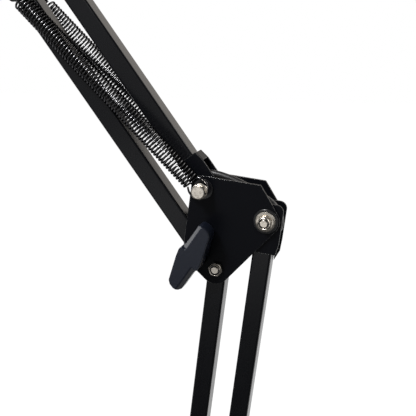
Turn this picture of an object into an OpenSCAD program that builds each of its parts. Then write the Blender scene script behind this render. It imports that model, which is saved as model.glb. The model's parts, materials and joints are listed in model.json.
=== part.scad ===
// Clamp-on LED desk lamp with a spring-balanced, double-parallelogram arm.
// X runs across the desk edge (the head is towards -X), Y along the edge, Z up.
// The origin is on the desk top, on the axis of the lamp's swivel post.

/* [Arms] */
// Length of each arm between its pivot centres
arm_length = 360; // [320:5:420]
// Outside width of the square tubes
tube_w = 12; // [11.6:0.1:12]
// Wall of the square tubes
tube_wall = 1; // [0.8:0.1:1]
// Corner radius of the square tubes
tube_corner = 1.5; // [1:0.1:2]
// Backward lean of the lower arm at rest, degrees
lower_lean = 6.92; // [0:0.01:12]
// Forward lean of the upper arm at rest, degrees
upper_lean = 36.42; // [30:0.01:50]

/* [Elbow] */
// Thickness of every pivot plate
plate_t = 1.5; // [1.2:0.1:1.6]
// Clear gap between a front plate and its rear plate
plate_gap = 12.4; // [12.4:0.1:12.8]
// Upper tie pivot from the tension pivot, across
tie_upper_x = 4; // [3:0.1:5]
// Upper tie pivot from the tension pivot, up
tie_upper_z = 40.1; // [39:0.1:41]
// Lower tie pivot from the lower bar's pivot, across
tie_lower_x = 31; // [30:0.1:32]
// Lower tie pivot from the lower bar's pivot, up
tie_lower_z = 33.2; // [32:0.1:34]

/* [Fasteners] */
// Shank diameter of the pivot bolts
bolt_d = 5; // [4.8:0.1:5]
// Width across the flats of bolt heads and nuts
hex_af = 8; // [7:0.5:8.5]
// Outside diameter of the pivot sleeves
sleeve_d = 8; // [7.6:0.1:8]

/* [Springs] */
// Wire of the balance springs
spring_wire = 1.3; // [1.1:0.1:1.5]
// Outside diameter of the balance springs
spring_od = 11.8; // [11:0.1:12]
// Distance of the spring hooks from the arm's middle plane
spring_y = 12.6; // [12.4:0.1:13]
// How far each spring's curls stand further out at the hook bolt than at the pin
spring_splay = 1.8; // [1.5:0.1:2.5]
// Anchor pin of the upper springs, distance up the upper bar
upper_anchor = 192; // [184:1:200]
// Anchor pin of the lower springs, distance up the lower bar
lower_anchor = 150; // [140:1:160]
// Curls of each upper spring
upper_curls = 26; // [16:1:28]
// Curls of each lower spring
lower_curls = 14; // [10:1:16]

/* [Head] */
// Length of the light bar
head_length = 250; // [200:5:300]
// Width of the light bar
head_width = 60; // [54:1:70]
// Depth of the light bar
head_depth = 14; // [14:0.5:18]

/* [Clamp] */
// Width of the clamp along the desk edge
clamp_width = 38; // [34:1:44]
// Height between the clamp's jaws
clamp_opening = 62; // [58:1:70]
// Diameter of the clamp screw
screw_d = 10; // [8:0.5:10]

/* [Hidden] */
$fn = 48;
EPS = 0.01;

// Pivot points, each as [x, z]
tie_upper = [tie_upper_x, tie_upper_z];
tie_lower = [tie_lower_x, tie_lower_z];
foot = [-tie_lower_x / 2, 68];
foot_tie = foot + tie_lower;
lower_dir = [sin(lower_lean), cos(lower_lean)];
upper_dir = [-sin(upper_lean), cos(upper_lean)];
lower_top = foot + arm_length * lower_dir;
lower_tie_top = lower_top + tie_lower;
// The tension pivot stands up and to the left of the lower bar's top pivot
tension = lower_top + [-12.4, 10.7];
hook_pivot = tension + tie_upper;
head_pivot = tension + arm_length * upper_dir;
head_tie = head_pivot + tie_upper;

// Layers along Y
tube_h = tube_w / 2;
gap_h = plate_gap / 2;
face = gap_h + plate_t;
sheet_t = 1.2;
bolt_r = bolt_d / 2;
sleeve_r = sleeve_d / 2;
fit = 0.06;
open_fit = 0.25;
hex_h = 4;
hook_reach = 7.9;
hook_face = face + hook_reach;
hook_sleeve_r = 3.2;
hook_flange_r = 6.3;
hook_washer_r = 5;
hook_washer_t = 1;
hook_ring_r = 6.3;
hook_ring_y = 13.7;
bar_end_r = 7.2;
tie_gap = 21;
lead_r = 2.2;
lead_start = 14.8;
pin_r = 2.4;
pin_reach = 17.9;
spring_r = (spring_od - spring_wire) / 2;

// Springs as drawn: a hook at each end, then curls of eight rings
rings_per_curl = 8;
hook_rings = 7;
upper_anchor_at = tension + upper_anchor * upper_dir;
lower_anchor_at = foot + lower_anchor * lower_dir;
upper_spring_run = norm(upper_anchor_at - hook_pivot);
lower_spring_run = norm(lower_anchor_at - foot_tie);

// Head and clamp places
stem_x = head_pivot.x - 23.5;
tilt_z = head_pivot.y - 46;
bridge_low = 15;
lead_end = tilt_z + bridge_low + 1 - head_pivot.y;
bar_top = tilt_z - 12;
bar_bottom = bar_top - head_depth;
bar_right = stem_x + 16;
bar_left = bar_right - head_length;
wall = 1.6;
rubber_t = 1.5;
jaw_t = 6;
jaw_top = rubber_t + jaw_t;
jaw_left = -46;
spine_x = 17;
spine_t = 7;
screw_x = -22;
clamp_bottom = rubber_t - clamp_opening;
socket_top = 30;
disc_top = -30;

// Plan and side shapes

module round_rect(w, h, r) {
  square([w - 2 * r, h], center = true);
  square([w, h - 2 * r], center = true);
  for (x = [-1, 1], y = [-1, 1])
    translate([x * (w / 2 - r), y * (h / 2 - r)]) circle(r);
}

// Points where the outer tangent touches circles a and b, each [x, z, r], counter-clockwise.
// They are tucked in by a hair, so that edges cross the circles and don't only graze them
tuck = 0.02;
function tangent(a, b) =
  let (d = [b.x - a.x, b.y - a.y], l = norm(d), u = d / l, k = (a.z - b.z) / l,
       n = k * u + sqrt(1 - k * k) * [u.y, -u.x])
  [[a.x, a.y] + (a.z - tuck) * n, [b.x, b.y] + (b.z - tuck) * n];

// Taut outline round circles that are listed counter-clockwise
module belt(c) {
  n = len(c);
  polygon([for (i = [0 : n - 1]) each tangent(c[i], c[(i + 1) % n])]);
  for (q = c) translate([q.x, q.y]) circle(q.z);
}

module in_xz(y0, y1) translate([0, y1, 0]) rotate([90, 0, 0]) linear_extrude(y1 - y0) children();

module y_rod(r, y0, y1, p = [0, 0])
  translate([p.x, y0, p.y]) rotate([-90, 0, 0]) cylinder(r = r, h = y1 - y0);

module y_hex(y0, y1, p, turn = 0)
  translate([p.x, y0, p.y]) rotate([-90, turn, 0])
    cylinder(r = hex_af / sqrt(3), h = y1 - y0, $fn = 6);

module y_ring(r, bore, y0, y1, p) difference() {
  y_rod(r, y0, y1, p);
  y_rod(bore, y0 - 1, y1 + 1, p);
}

module on_lower(p) translate([p.x, 0, p.y]) rotate([0, lower_lean, 0]) children();
module on_upper(p) translate([p.x, 0, p.y]) rotate([0, -upper_lean, 0]) children();
module at_point(p) translate([p.x, 0, p.y]) children();

// Swept tubes: rings of points carried along a path without twist

function unit(v) = v / norm(v);
function heading(p, i) = unit(p[min(i + 1, len(p) - 1)] - p[max(i - 1, 0)]);
function carried(n, t) = unit(n - (n * t) * t);
function normals(p, first) =
  [for (i = 0, n = carried(first, heading(p, 0)); i < len(p);
        i = i + 1, n = i < len(p) ? carried(n, heading(p, i)) : n) n];
function ring_points(p, r, sides, first) =
  let (ns = normals(p, first))
  [for (i = [0 : len(p) - 1]) let (t = heading(p, i), b = cross(t, ns[i]))
    for (k = [0 : sides - 1]) let (a = 360 * k / sides) p[i] + r * (cos(a) * ns[i] + sin(a) * b)];
function tube_faces(count, sides) = concat(
  [for (i = [0 : count - 2], k = [0 : sides - 1]) let (m = (k + 1) % sides)
    each [[i * sides + k, (i + 1) * sides + m, i * sides + m],
          [i * sides + k, (i + 1) * sides + k, (i + 1) * sides + m]]],
  [for (k = [1 : sides - 2]) [0, k, k + 1]],
  [for (k = [1 : sides - 2]) let (e = (count - 1) * sides) [e, e + k + 1, e + k]]);

module swept(p, r, sides, first = [0, 1, 0])
  polyhedron(ring_points(p, r, sides, first), tube_faces(len(p), sides), convexity = 10);

// Path of one spring along +Z: open ring that hangs on the lower bolt, curls, hook round the
// upper pin. The ring stands inwards of the curls by hook_in
curls_start = 7.8;
hook_hang = hook_ring_r - spring_wire / 2 - hook_sleeve_r - 0.45;
function loop(r, y, z, from, to) = [for (i = [0 : hook_rings])
  let (a = from + (to - from) * i / hook_rings) [r * cos(a), y, z + r * sin(a)]];
function spring_path(run, curls, high_r, hook_in) =
  let (z0 = curls_start, z1 = run - high_r - 3, steps = curls * rings_per_curl)
  concat(
    loop(hook_ring_r, hook_in, hook_hang, -220, 32),
    [[spring_r + 0.5, hook_in * 0.55, z0 - 0.9]],
    [for (i = [0 : steps]) let (a = 360 * i / rings_per_curl)
      [spring_r * cos(a), spring_r * sin(a), z0 + (z1 - z0) * i / steps]],
    [[spring_r + 0.3, 0, z1 + 1.8]],
    loop(high_r, 0, run, 0, 210));
function self_gap(p, wire) = min([for (i = [0 : len(p) - 1], j = [i + 6 : 1 : min(i + 12, len(p) - 1)])
  norm(p[i] - p[j])]) - wire;

hook_shift = spring_y + spring_splay - hook_ring_y;
high_hook_r = pin_r + spring_wire / 2 + 0.4;
function upper_path(side) =
  spring_path(upper_spring_run, upper_curls, high_hook_r, -side * hook_shift);
function lower_path(side) =
  spring_path(lower_spring_run, lower_curls, high_hook_r, -side * hook_shift);
echo(upper_spring_gap = self_gap(upper_path(1), spring_wire));
echo(lower_spring_gap = self_gap(lower_path(1), spring_wire));

module spring(from, to, path, side) {
  d = to - from;
  color([0.07, 0.07, 0.08]) translate([from.x, side * (spring_y + spring_splay), from.y])
    rotate([0, atan2(d.x, d.y), 0]) rotate([side * asin(spring_splay / norm(d)), 0, 0])
      swept(path, spring_wire / 2, 6);
}

// Square tubes

module tube_outside(z0, z1) translate([0, 0, z0]) linear_extrude(z1 - z0)
  round_rect(tube_w, tube_w, tube_corner);
module tube_inside(z0, z1) translate([0, 0, z0]) linear_extrude(z1 - z0)
  square(tube_w - 2 * tube_wall, center = true);

// Bar that turns on a sleeve at each end, with a hole for its spring pin
module bar(anchor) color([0.09, 0.09, 0.11]) difference() {
  intersection() {
    tube_outside(-tube_w, arm_length + tube_w);
    in_xz(-tube_w, tube_w) {
      circle(bar_end_r);
      translate([-tube_w, 0]) square([2 * tube_w, arm_length]);
      translate([0, arm_length]) circle(bar_end_r);
    }
  }
  tube_inside(-2 * tube_w, arm_length + 2 * tube_w);
  for (z = [0, arm_length]) y_rod(sleeve_r + fit, -tube_w, tube_w, [0, z]);
  y_rod(pin_r + 0.02, -tube_w, tube_w, [0, anchor]);
}

module tie_tube() color([0.09, 0.09, 0.11]) difference() {
  tube_outside(tie_gap, arm_length - tie_gap);
  tube_inside(tie_gap - 1, arm_length);
}

// Folded clevis: two flanges, one web and a spigot inside the tube. Its pivot is at the
// origin, the tube lies towards +Z and the flanges reach out towards +X
clevis_out = 9.6;
clevis_nose = 10.8;
clevis_spigot = 14;
fin_tip = [tube_h + 0.3, tie_gap + 7];
module clevis_side(y0) in_xz(y0, y0 + sheet_t) difference() {
  belt([[-2.4, 3.6 - clevis_nose, 3.6], [clevis_out - 4.6, 4.6 - clevis_nose, 4.6],
        [clevis_out - 0.5, 14.2, 0.5], [7.9, tie_gap - 0.5, 0.5], [-5.5, tie_gap - 0.5, 0.5]]);
  circle(sleeve_r + open_fit);
}
module clevis(web_out, fin) color([0.1, 0.1, 0.12]) {
  difference() {
    union() {
      for (y = [-tube_h, tube_h - sheet_t]) clevis_side(y);
      if (web_out)
        in_xz(-tube_h + sheet_t, tube_h - sheet_t)
          polygon([[clevis_out - sheet_t, 14.7], [clevis_out, 14.7], [8.4, tie_gap], [8.4 - sheet_t, tie_gap]]);
      else
        in_xz(-tube_h + sheet_t, tube_h - sheet_t)
          translate([-tube_h, 14.7]) square([sheet_t, tie_gap - 14.7]);
      if (fin)
        in_xz(tube_h - sheet_t, tube_h)
          polygon([[tube_h + EPS, 13], [clevis_out, 13], [9.2, tie_gap], fin_tip, [tube_h + EPS, tie_gap]]);
      in_xz(-tube_h + sheet_t, tube_h - sheet_t)
        translate([-4.9, tie_gap - sheet_t]) square([web_out ? 13 : 9.8, sheet_t]);
      translate([0, 0, tie_gap]) linear_extrude(clevis_spigot)
        square(tube_w - 2 * tube_wall - 0.04, center = true);
    }
    translate([0, 0, tie_gap - 4]) cylinder(r = lead_r + 0.4, h = clevis_spigot + 8);
  }
}
module tie_clevises(fin) {
  clevis(!fin, fin);
  translate([0, 0, arm_length]) mirror([0, 0, 1]) clevis(!fin, false);
}

module tie_lead() color([0.05, 0.05, 0.05])
  translate([0, 0, lead_start + 0.4]) cylinder(r = lead_r, h = arm_length - 2 * lead_start - 0.8);

// Pin across a bar: a collar at each face and each end, a spring hook between them
module spring_pin(z) color("silver") {
  y_rod(pin_r, -pin_reach, pin_reach, [0, z]);
  for (s = [-1, 1]) {
    y_rod(pin_r + 1.2, s * (pin_reach - 0.8) - 0.8, s * (pin_reach - 0.8) + 0.8, [0, z]);
    y_rod(pin_r + 1.2, s * (tube_h + 1.1) - 1, s * (tube_h + 1.1) + 1, [0, z]);
  }
}

// Pivot plates

module plate(y0, circles, holes) color([0.08, 0.08, 0.1]) difference() {
  in_xz(y0, y0 + plate_t) belt(circles);
  for (h = holes) y_rod(bolt_r + 0.1, y0 - 1, y0 + plate_t + 1, h);
}
front_y = -face;
rear_y = gap_h;

// Places on the elbow, from the tension pivot
elbow_low = [12.4, -10.7];
elbow_right = elbow_low + tie_lower;
elbow_circles = [[-1.85, -1.8, 8], [11.4, -11.5, 9.6], [elbow_right.x, elbow_right.y, 8.6],
                 [39, 43, 1.5], [tie_upper.x, tie_upper.y, 8]];
elbow_holes = [[0, 0], elbow_low, elbow_right, tie_upper];
module elbow_front_plate() at_point(tension) plate(front_y, elbow_circles, elbow_holes);
module elbow_rear_plate() at_point(tension) plate(rear_y, elbow_circles, elbow_holes);

block_bolts = [[-9.5, 40], [9.5, 40], [-9, 53]];
base_circles = [[-12, 39, 4.5], [12, 39, 4.5], [foot_tie.x, foot_tie.y, 9.5], [foot.x, foot.y, 9.5]];
base_holes = concat([foot, foot_tie], block_bolts);
module base_front_plate() plate(front_y, base_circles, base_holes);
module base_rear_plate() plate(rear_y, base_circles, base_holes);

// Places on the head bracket, from the upper bar's top pivot
neck = [-23.5, 2.5];
neck_bolts = [neck - [7.5, 0], neck + [7.5, 0]];
head_circles = [[-31, -4, 5], [0, 0, 8.5], [tie_upper.x, tie_upper.y, 8.5], [-31, 9, 5]];
head_holes = concat([[0, 0], tie_upper], neck_bolts);
module head_front_plate() at_point(head_pivot) plate(front_y, head_circles, head_holes);
module head_rear_plate() at_point(head_pivot) plate(rear_y, head_circles, head_holes);

// Fasteners

module through_bolt(p, front_end, turn = 0) {
  y_rod(bolt_r - 0.05, -front_end, face + 1, p);
  y_hex(face, face + 3.5, p, turn);
}
module hex_nut(y0, p, turn = 0) difference() {
  y_hex(y0, y0 + hex_h, p, turn);
  y_rod(bolt_r, y0 - 1, y0 + hex_h + 1, p);
}
washer_t = 1.2;
flange_t = 1;
module elbow_bolts() color("silver") at_point(tension) {
  through_bolt(elbow_low, face + hex_h + 1.4, 10);
  through_bolt(elbow_right, face + flange_t + washer_t + hex_h + 1.4, 40);
}
module elbow_nuts() color("silver") at_point(tension) {
  hex_nut(-face - hex_h, elbow_low, 12);
  hex_nut(-face - flange_t - washer_t - hex_h, elbow_right, 40);
}
module elbow_washers() color("silver") at_point(tension) {
  y_ring(6.2, bolt_r + 0.1, -face - flange_t - washer_t, -face - flange_t, elbow_right);
  hook_washers_at(tie_upper);
}
module elbow_flange() color([0.07, 0.07, 0.08]) at_point(tension)
  y_ring(7.7, bolt_r + 0.1, -face - flange_t, -face, elbow_right);
module elbow_sleeves() color("gold") at_point(tension)
  for (p = elbow_holes) y_ring(sleeve_r, bolt_r + 0.1, -gap_h, gap_h, p);

// Bolt that also carries the springs: head in front, nut behind, a washer under each
sleeve_end = hook_face - hook_washer_t;
module hook_bolt_at(p, turn) {
  y_rod(bolt_r - 0.05, -hook_face, hook_face + hex_h + 1, p);
  y_hex(-hook_face - hex_h, -hook_face, p, turn);
  hex_nut(hook_face, p, turn);
}
module hook_washers_at(p) for (s = [-1, 1])
  y_ring(hook_washer_r, bolt_r + 0.1, s > 0 ? sleeve_end : -hook_face,
    s > 0 ? hook_face : -sleeve_end, p);
module hook_sleeves_at(p) for (s = [-1, 1]) {
  y_ring(hook_sleeve_r, bolt_r + 0.1, s > 0 ? face : -sleeve_end, s > 0 ? sleeve_end : -face, p);
  y_ring(hook_flange_r, bolt_r + 0.1, s > 0 ? face : -face - 1.2, s > 0 ? face + 1.2 : -face, p);
}
module hook_bolt() color("silver") at_point(tension) hook_bolt_at(tie_upper, 17);
module hook_sleeves() color([0.15, 0.15, 0.16]) at_point(tension) hook_sleeves_at(tie_upper);
module tension_bolt() color("silver") at_point(tension) {
  y_rod(bolt_r - 0.05, -21, face + 1);
  y_hex(face, face + 3.5, [0, 0], 5);
}
module base_bolts() color("silver") {
  through_bolt(foot, face + hex_h + 1.4, 20);
  hook_bolt_at(foot_tie, 8);
  for (p = block_bolts) through_bolt(p, face + hex_h + 1);
}
module base_nuts() color("silver") {
  hook_washers_at(foot_tie);
  hex_nut(-face - hex_h, foot, 20);
  for (p = block_bolts) hex_nut(-face - hex_h, p);
}
module base_sleeves() color("gold")
  for (p = [foot, foot_tie]) y_ring(sleeve_r, bolt_r + 0.1, -gap_h, gap_h, p);
module base_hook_sleeves() color([0.15, 0.15, 0.16]) hook_sleeves_at(foot_tie);
module head_bolts() color("silver") at_point(head_pivot)
  for (p = head_holes) through_bolt(p, face + hex_h + 1.2, 15);
module head_nuts() color("silver") at_point(head_pivot)
  for (p = head_holes) hex_nut(-face - hex_h, p, 15);
module head_sleeves() color("gold") at_point(head_pivot)
  for (p = [[0, 0], tie_upper]) y_ring(sleeve_r, bolt_r + 0.1, -gap_h, gap_h, p);

// Arms

module lower_bar() on_lower(foot) bar(lower_anchor);
module lower_spring_pin() on_lower(foot) spring_pin(lower_anchor);
module lower_spring_front() spring(foot_tie, lower_anchor_at, lower_path(-1), -1);
module lower_spring_rear() spring(foot_tie, lower_anchor_at, lower_path(1), 1);
module lower_tie_bar() on_lower(foot_tie) tie_tube();
module lower_tie_clevises() on_lower(foot_tie) translate([0, 0, arm_length]) mirror([0, 0, 1])
  tie_clevises(true);
module lower_lead() on_lower(foot_tie) tie_lead();

module upper_bar() on_upper(tension) bar(upper_anchor);
module upper_spring_pin() on_upper(tension) spring_pin(upper_anchor);
module upper_spring_front() spring(hook_pivot, upper_anchor_at, upper_path(-1), -1);
module upper_spring_rear() spring(hook_pivot, upper_anchor_at, upper_path(1), 1);
module upper_tie_bar() on_upper(hook_pivot) tie_tube();
module upper_tie_clevises() on_upper(hook_pivot) tie_clevises(false);
module upper_lead() on_upper(hook_pivot) tie_lead();

// Lead where it crosses the pivots, as round places between the plates

function in_middle(p) = [for (q = p) [q.x, 0, q.y]];
module lead(p) color([0.05, 0.05, 0.05]) swept(in_middle(p), lead_r, 8);
elbow_route = concat(
  [tie_upper + lead_start * upper_dir],
  [[-2.6, 49.6], [1, 48.5], [5, 48.5], [10, 48.1], [15, 47], [21, 45.1], [28, 42.3], [35, 38.8],
   [41, 35.1], [46.4, 30.8], [49.8, 26], [50.9, 20.8], [49.8, 16.2], [46.8, 13], [43.6, 11], [42, 9.4]],
  [elbow_right - lead_start * lower_dir]);
module elbow_lead() at_point(tension) lead(elbow_route);
base_route = concat(
  [foot_tie + lead_start * lower_dir, foot_tie + 13.8 * lower_dir],
  [[18.2, 112.8], [21.4, 109.8], [23.2, 105.8], [23.4, 100.4], [22.4, 94], [20, 86], [16, 78],
   [10.8, 71], [5.6, 65.4], [2.5, 61], [2, 57], [2, 52]]);
module base_lead() lead(base_route);
head_route = concat(
  [tie_upper - lead_start * upper_dir, tie_upper - 13.8 * upper_dir],
  [[9.8, 30.7], [6.4, 32], [1.6, 32.4], [-4, 31.6], [-9.6, 29.8], [-14.8, 27.2], [-19, 24],
   [-21.8, 20.4], [-23.2, 17], [neck.x, 13.5], [neck.x, 0], [neck.x, lead_end]]);
module head_lead() at_point(head_pivot) lead(head_route);

// Base: post, block between the plates, power inlet

post_r = 6;
spigot_r = 4.5;
block_low = socket_top + 3.5;
block_top = 58;
inlet_z = 48;
module post() color("silver") {
  translate([0, 0, 3]) cylinder(r = post_r, h = socket_top - 2);
  translate([0, 0, socket_top + 0.7]) cylinder(r = 10, h = block_low - socket_top - 0.7);
  translate([0, 0, block_low - 1]) cylinder(r = spigot_r, h = 8);
}
module base_block() color([0.1, 0.1, 0.11]) difference() {
  translate([0, 0, block_low]) linear_extrude(block_top - block_low) round_rect(30, plate_gap, 2);
  translate([0, 0, block_low - 2]) cylinder(r = spigot_r, h = 9.4);
  for (p = block_bolts) y_rod(bolt_r + 0.1, -gap_h - 1, gap_h + 1, p);
  translate([16, 0, inlet_z]) rotate([0, -90, 0]) cylinder(r = 4.5, h = 17);
  translate([2, 0, inlet_z]) cylinder(r = lead_r + 0.2, h = 14);
}
module inlet_socket() color([0.05, 0.05, 0.05]) translate([0, 0, inlet_z]) rotate([0, 90, 0]) difference() {
  union() {
    translate([0, 0, 5]) cylinder(r = 4.4, h = 10);
    translate([0, 0, 15]) cylinder(r = 5.6, h = 1.6);
  }
  translate([0, 0, 8]) cylinder(r = 2.8, h = 12);
}

// Desk clamp

module clamp_frame() color([0.09, 0.09, 0.1]) difference() {
  union() {
    in_xz(-clamp_width / 2, clamp_width / 2) difference() {
      belt([[jaw_left + 3, clamp_bottom - jaw_t + 3, 3], [spine_x + spine_t - 5, clamp_bottom - jaw_t + 5, 5],
            [spine_x + spine_t - 5, jaw_top - 5, 5], [jaw_left + 3, jaw_top - 3, 3]]);
      translate([jaw_left - 10, clamp_bottom]) square([spine_x - jaw_left + 10, clamp_opening]);
    }
    translate([0, 0, jaw_top - 1]) cylinder(r = 13, h = socket_top - jaw_top + 1);
    translate([screw_x, 0, clamp_bottom - 12]) cylinder(r = 10, h = 12);
  }
  translate([0, 0, 3]) cylinder(r = post_r + 1.5, h = socket_top);
  translate([screw_x, 0, clamp_bottom - 20]) cylinder(r = screw_d / 2 + 0.08, h = 40);
}
module jaw_rubber() color([0.05, 0.05, 0.05])
  translate([(jaw_left + spine_x) / 2 - 2, 0, 0]) linear_extrude(rubber_t) round_rect(56, clamp_width - 4, 3);
module socket_bush() color("white") difference() {
  union() {
    translate([0, 0, 3]) cylinder(r = post_r + 1.5, h = socket_top - 3);
    translate([0, 0, socket_top]) cylinder(r = 11, h = 0.4);
  }
  translate([0, 0, 2]) cylinder(r = post_r + fit, h = socket_top + 4);
}
disc_r = 16;
hub_low = -11;
screw_tip_r = screw_d / 2 - 1.5;
module pressure_disc() color([0.1, 0.1, 0.11]) translate([screw_x, 0, disc_top]) difference() {
  union() {
    translate([0, 0, -5]) cylinder(r = disc_r, h = 3);
    translate([0, 0, hub_low]) cylinder(r = 8, h = -hub_low - 4);
  }
  translate([0, 0, hub_low - 1]) cylinder(r = screw_tip_r + 0.08, h = -hub_low - 3);
}
module disc_rubber() color([0.05, 0.05, 0.05])
  translate([screw_x, 0, disc_top - 2]) cylinder(r = disc_r - 0.5, h = 2);
screw_length = 88;
screw_low = hub_low - 0.3 - screw_length;
module clamp_screw() color("silver") translate([screw_x, 0, disc_top]) {
  translate([0, 0, screw_low]) cylinder(r = screw_d / 2, h = screw_length);
  translate([0, 0, hub_low - 1]) cylinder(r = screw_tip_r, h = -hub_low - 3.6);
}
module clamp_handle() color([0.08, 0.08, 0.09]) translate([screw_x, 0, disc_top + screw_low - 8]) difference() {
  union() {
    cylinder(r = 10, h = 16);
    linear_extrude(10) belt([[-18, 0, 5], [0, -3, 5], [18, 0, 5], [0, 3, 5]]);
  }
  translate([0, 0, 8]) cylinder(r = screw_d / 2 + 0.02, h = 20);
}

// Wing knob on the tension pivot: a hub and a two-winged paddle with a bevel on each wing
knob_back = 8;
knob_front = 26;
bevel_lean = 34;
bevel_angle = 41;
bevel_w = 2.7;
bevel_middle = [1.5, 14.85];
half_paddle = [[13.1, 14.6], [12.4, 17.4], [10.4, 19.8], [7.6, 21.3], [5.6, 20.9], [-2.6, 8.8], [-6.2, 6.2],
               [-8.2, 1.2]];
module wing_knob() color([0.13, 0.15, 0.18]) at_point(tension) difference() {
  union() {
    y_rod(8, -knob_back - 9, -knob_back - 0.3);
    in_xz(-knob_front, -knob_back - 6) polygon(concat(half_paddle, -half_paddle));
  }
  for (turn = [0, 180]) rotate([0, turn, 0])
    translate([bevel_middle.x, -knob_front, bevel_middle.y]) rotate([0, bevel_lean, 0])
      translate([bevel_w, 0, 0]) rotate([0, 0, bevel_angle])
        translate([-12, -14, -9.6]) cube([12, 28, 24]);
  y_rod(bolt_r + 0.02, -21.5, 0);
}

// Head: neck, yoke and light bar

stem_r = 4;
neck_low = -9;
neck_top = 14;
module neck_block() color([0.1, 0.1, 0.11]) at_point(head_pivot) difference() {
  translate([neck.x, 0, neck_low]) linear_extrude(neck_top - neck_low) round_rect(24, plate_gap, 2);
  translate([neck.x, 0, neck_low - 1]) cylinder(r = stem_r + fit, h = 30);
  for (p = neck_bolts) y_rod(bolt_r + 0.1, -gap_h - 1, gap_h + 1, p);
}
ear_y = 9.5;
ear_t = 4;
bridge_t = 7;
stem_top = head_pivot.y + neck_top + 2.6 - tilt_z;
module head_yoke() color([0.1, 0.1, 0.11]) translate([stem_x, 0, tilt_z]) difference() {
  union() {
    translate([0, 0, bridge_low + 1]) cylinder(r = 8.4, h = head_pivot.y + neck_low - 0.6 - tilt_z - bridge_low - 1);
    cylinder(r = stem_r, h = stem_top);
    translate([0, 0, stem_top - 2.2]) cylinder(r = 5.8, h = 1.6);
    translate([0, 0, bridge_low]) linear_extrude(bridge_t) round_rect(17, 2 * (ear_y + ear_t), 3);
    for (s = [-1, 1]) in_xz(s > 0 ? ear_y : -ear_y - ear_t, s > 0 ? ear_y + ear_t : -ear_y) {
      circle(8.5);
      translate([-8.5, 0]) square([17, bridge_low + 1]);
    }
  }
  translate([0, 0, bridge_low - 1]) cylinder(r = lead_r + 0.4, h = 100);
  y_rod(bolt_r + 0.1, -20, 20);
  translate([-10, -ear_y, -10]) cube([20, 2 * ear_y, 10 + bridge_low]);
}
module tilt_bolt() color("silver") translate([stem_x, 0, tilt_z]) {
  y_rod(bolt_r, -ear_y - ear_t - 9, ear_y + ear_t + 1);
  y_hex(ear_y + ear_t, ear_y + ear_t + 3.5, [0, 0], 0);
}
module tilt_knob() color([0.13, 0.15, 0.18]) translate([stem_x, 0, tilt_z]) difference() {
  y_rod(8.5, -ear_y - ear_t - 12, -ear_y - ear_t - 0.3);
  y_rod(bolt_r + 0.05, -ear_y - ear_t - 9.5, 0);
  for (a = [0 : 30 : 330]) rotate([0, a, 0]) y_rod(1.2, -40, -ear_y - ear_t - 2, [9, 0]);
}

button_x = [stem_x - 34, stem_x - 54];
module bar_shell(x0, x1) translate([x0, 0, bar_bottom]) rotate([90, 0, 90]) linear_extrude(x1 - x0)
  difference() {
    translate([0, head_depth / 2]) round_rect(head_width, head_depth, 3);
    translate([0, head_depth / 2 - wall]) square([head_width - 2 * wall, head_depth], center = true);
    translate([0, -1]) square([head_width - 2 * wall, 4], center = true);
  }
module head_housing() color([0.09, 0.09, 0.1]) difference() {
  union() {
    bar_shell(bar_left + 3, bar_right - 3);
    translate([stem_x, 0, tilt_z]) in_xz(-ear_y + 0.3, ear_y - 0.3) {
      circle(8);
      translate([-8, -12.5]) square([16, 12.5]);
    }
  }
  translate([stem_x, 0, tilt_z]) y_rod(bolt_r + fit, -20, 20);
  for (x = button_x) translate([x, 0, bar_top - 4]) cylinder(r = 6.3, h = 8);
}
module end_caps() color([0.07, 0.07, 0.08])
  for (x = [bar_left, bar_right - 3]) translate([x, 0, bar_bottom]) rotate([90, 0, 90])
    linear_extrude(3) translate([0, head_depth / 2]) round_rect(head_width, head_depth, 3);
led_rows = 2;
led_count = 14;
module led_board() color("white") {
  translate([(bar_left + bar_right) / 2, 0, bar_bottom + 5.4]) {
    linear_extrude(1.6) square([head_length - 14, head_width - 12], center = true);
    for (i = [0 : led_count - 1], j = [0 : led_rows - 1])
      translate([(i - (led_count - 1) / 2) * 16, (j - 0.5) * 22, -0.8])
        linear_extrude(0.8) square([3.5, 2.8], center = true);
  }
}
module driver_board() color("green") translate([bar_left + 70, 0, bar_top - wall - 3.6]) {
  linear_extrude(1.2) square([60, 24], center = true);
  translate([14, 0, -1.6]) linear_extrude(1.6) square([12, 10], center = true);
}
module diffuser() color([0.95, 0.95, 0.92])
  translate([(bar_left + bar_right) / 2, 0, bar_bottom + 1.2]) linear_extrude(2)
    square([head_length - 6.4, head_width - 2 * wall - 0.2], center = true);
module button(x) translate([x, 0, bar_top - 4.4]) {
  cylinder(r = 6, h = 5.6);
  cylinder(r = 7.4, h = 1.2);
}
module power_button() color([0.2, 0.2, 0.21]) button(button_x[0]);
module dimmer_button() color([0.2, 0.2, 0.21]) button(button_x[1]);

clamp_frame();
jaw_rubber();
socket_bush();
pressure_disc();
disc_rubber();
clamp_screw();
clamp_handle();
post();
base_block();
base_front_plate();
base_rear_plate();
base_bolts();
base_nuts();
base_sleeves();
base_hook_sleeves();
inlet_socket();
base_lead();
lower_bar();
lower_spring_pin();
lower_spring_front();
lower_spring_rear();
lower_tie_bar();
lower_tie_clevises();
lower_lead();
elbow_front_plate();
elbow_rear_plate();
elbow_bolts();
elbow_nuts();
elbow_washers();
elbow_sleeves();
elbow_flange();
hook_bolt();
hook_sleeves();
tension_bolt();
elbow_lead();
wing_knob();
upper_bar();
upper_spring_pin();
upper_spring_front();
upper_spring_rear();
upper_tie_bar();
upper_tie_clevises();
upper_lead();
head_front_plate();
head_rear_plate();
head_bolts();
head_nuts();
head_sleeves();
neck_block();
head_lead();
head_yoke();
tilt_bolt();
tilt_knob();
head_housing();
end_caps();
led_board();
driver_board();
diffuser();
power_button();
dimmer_button();
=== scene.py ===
"""Looks of a clamp-on LED desk lamp with a spring-balanced arm of square tubes.

X runs across the desk edge with the head towards -X, Y along the edge, Z up, in metres.
Places come from the frame's joints and boxes, sizes are named fields of each sub-assembly.
"""

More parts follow.
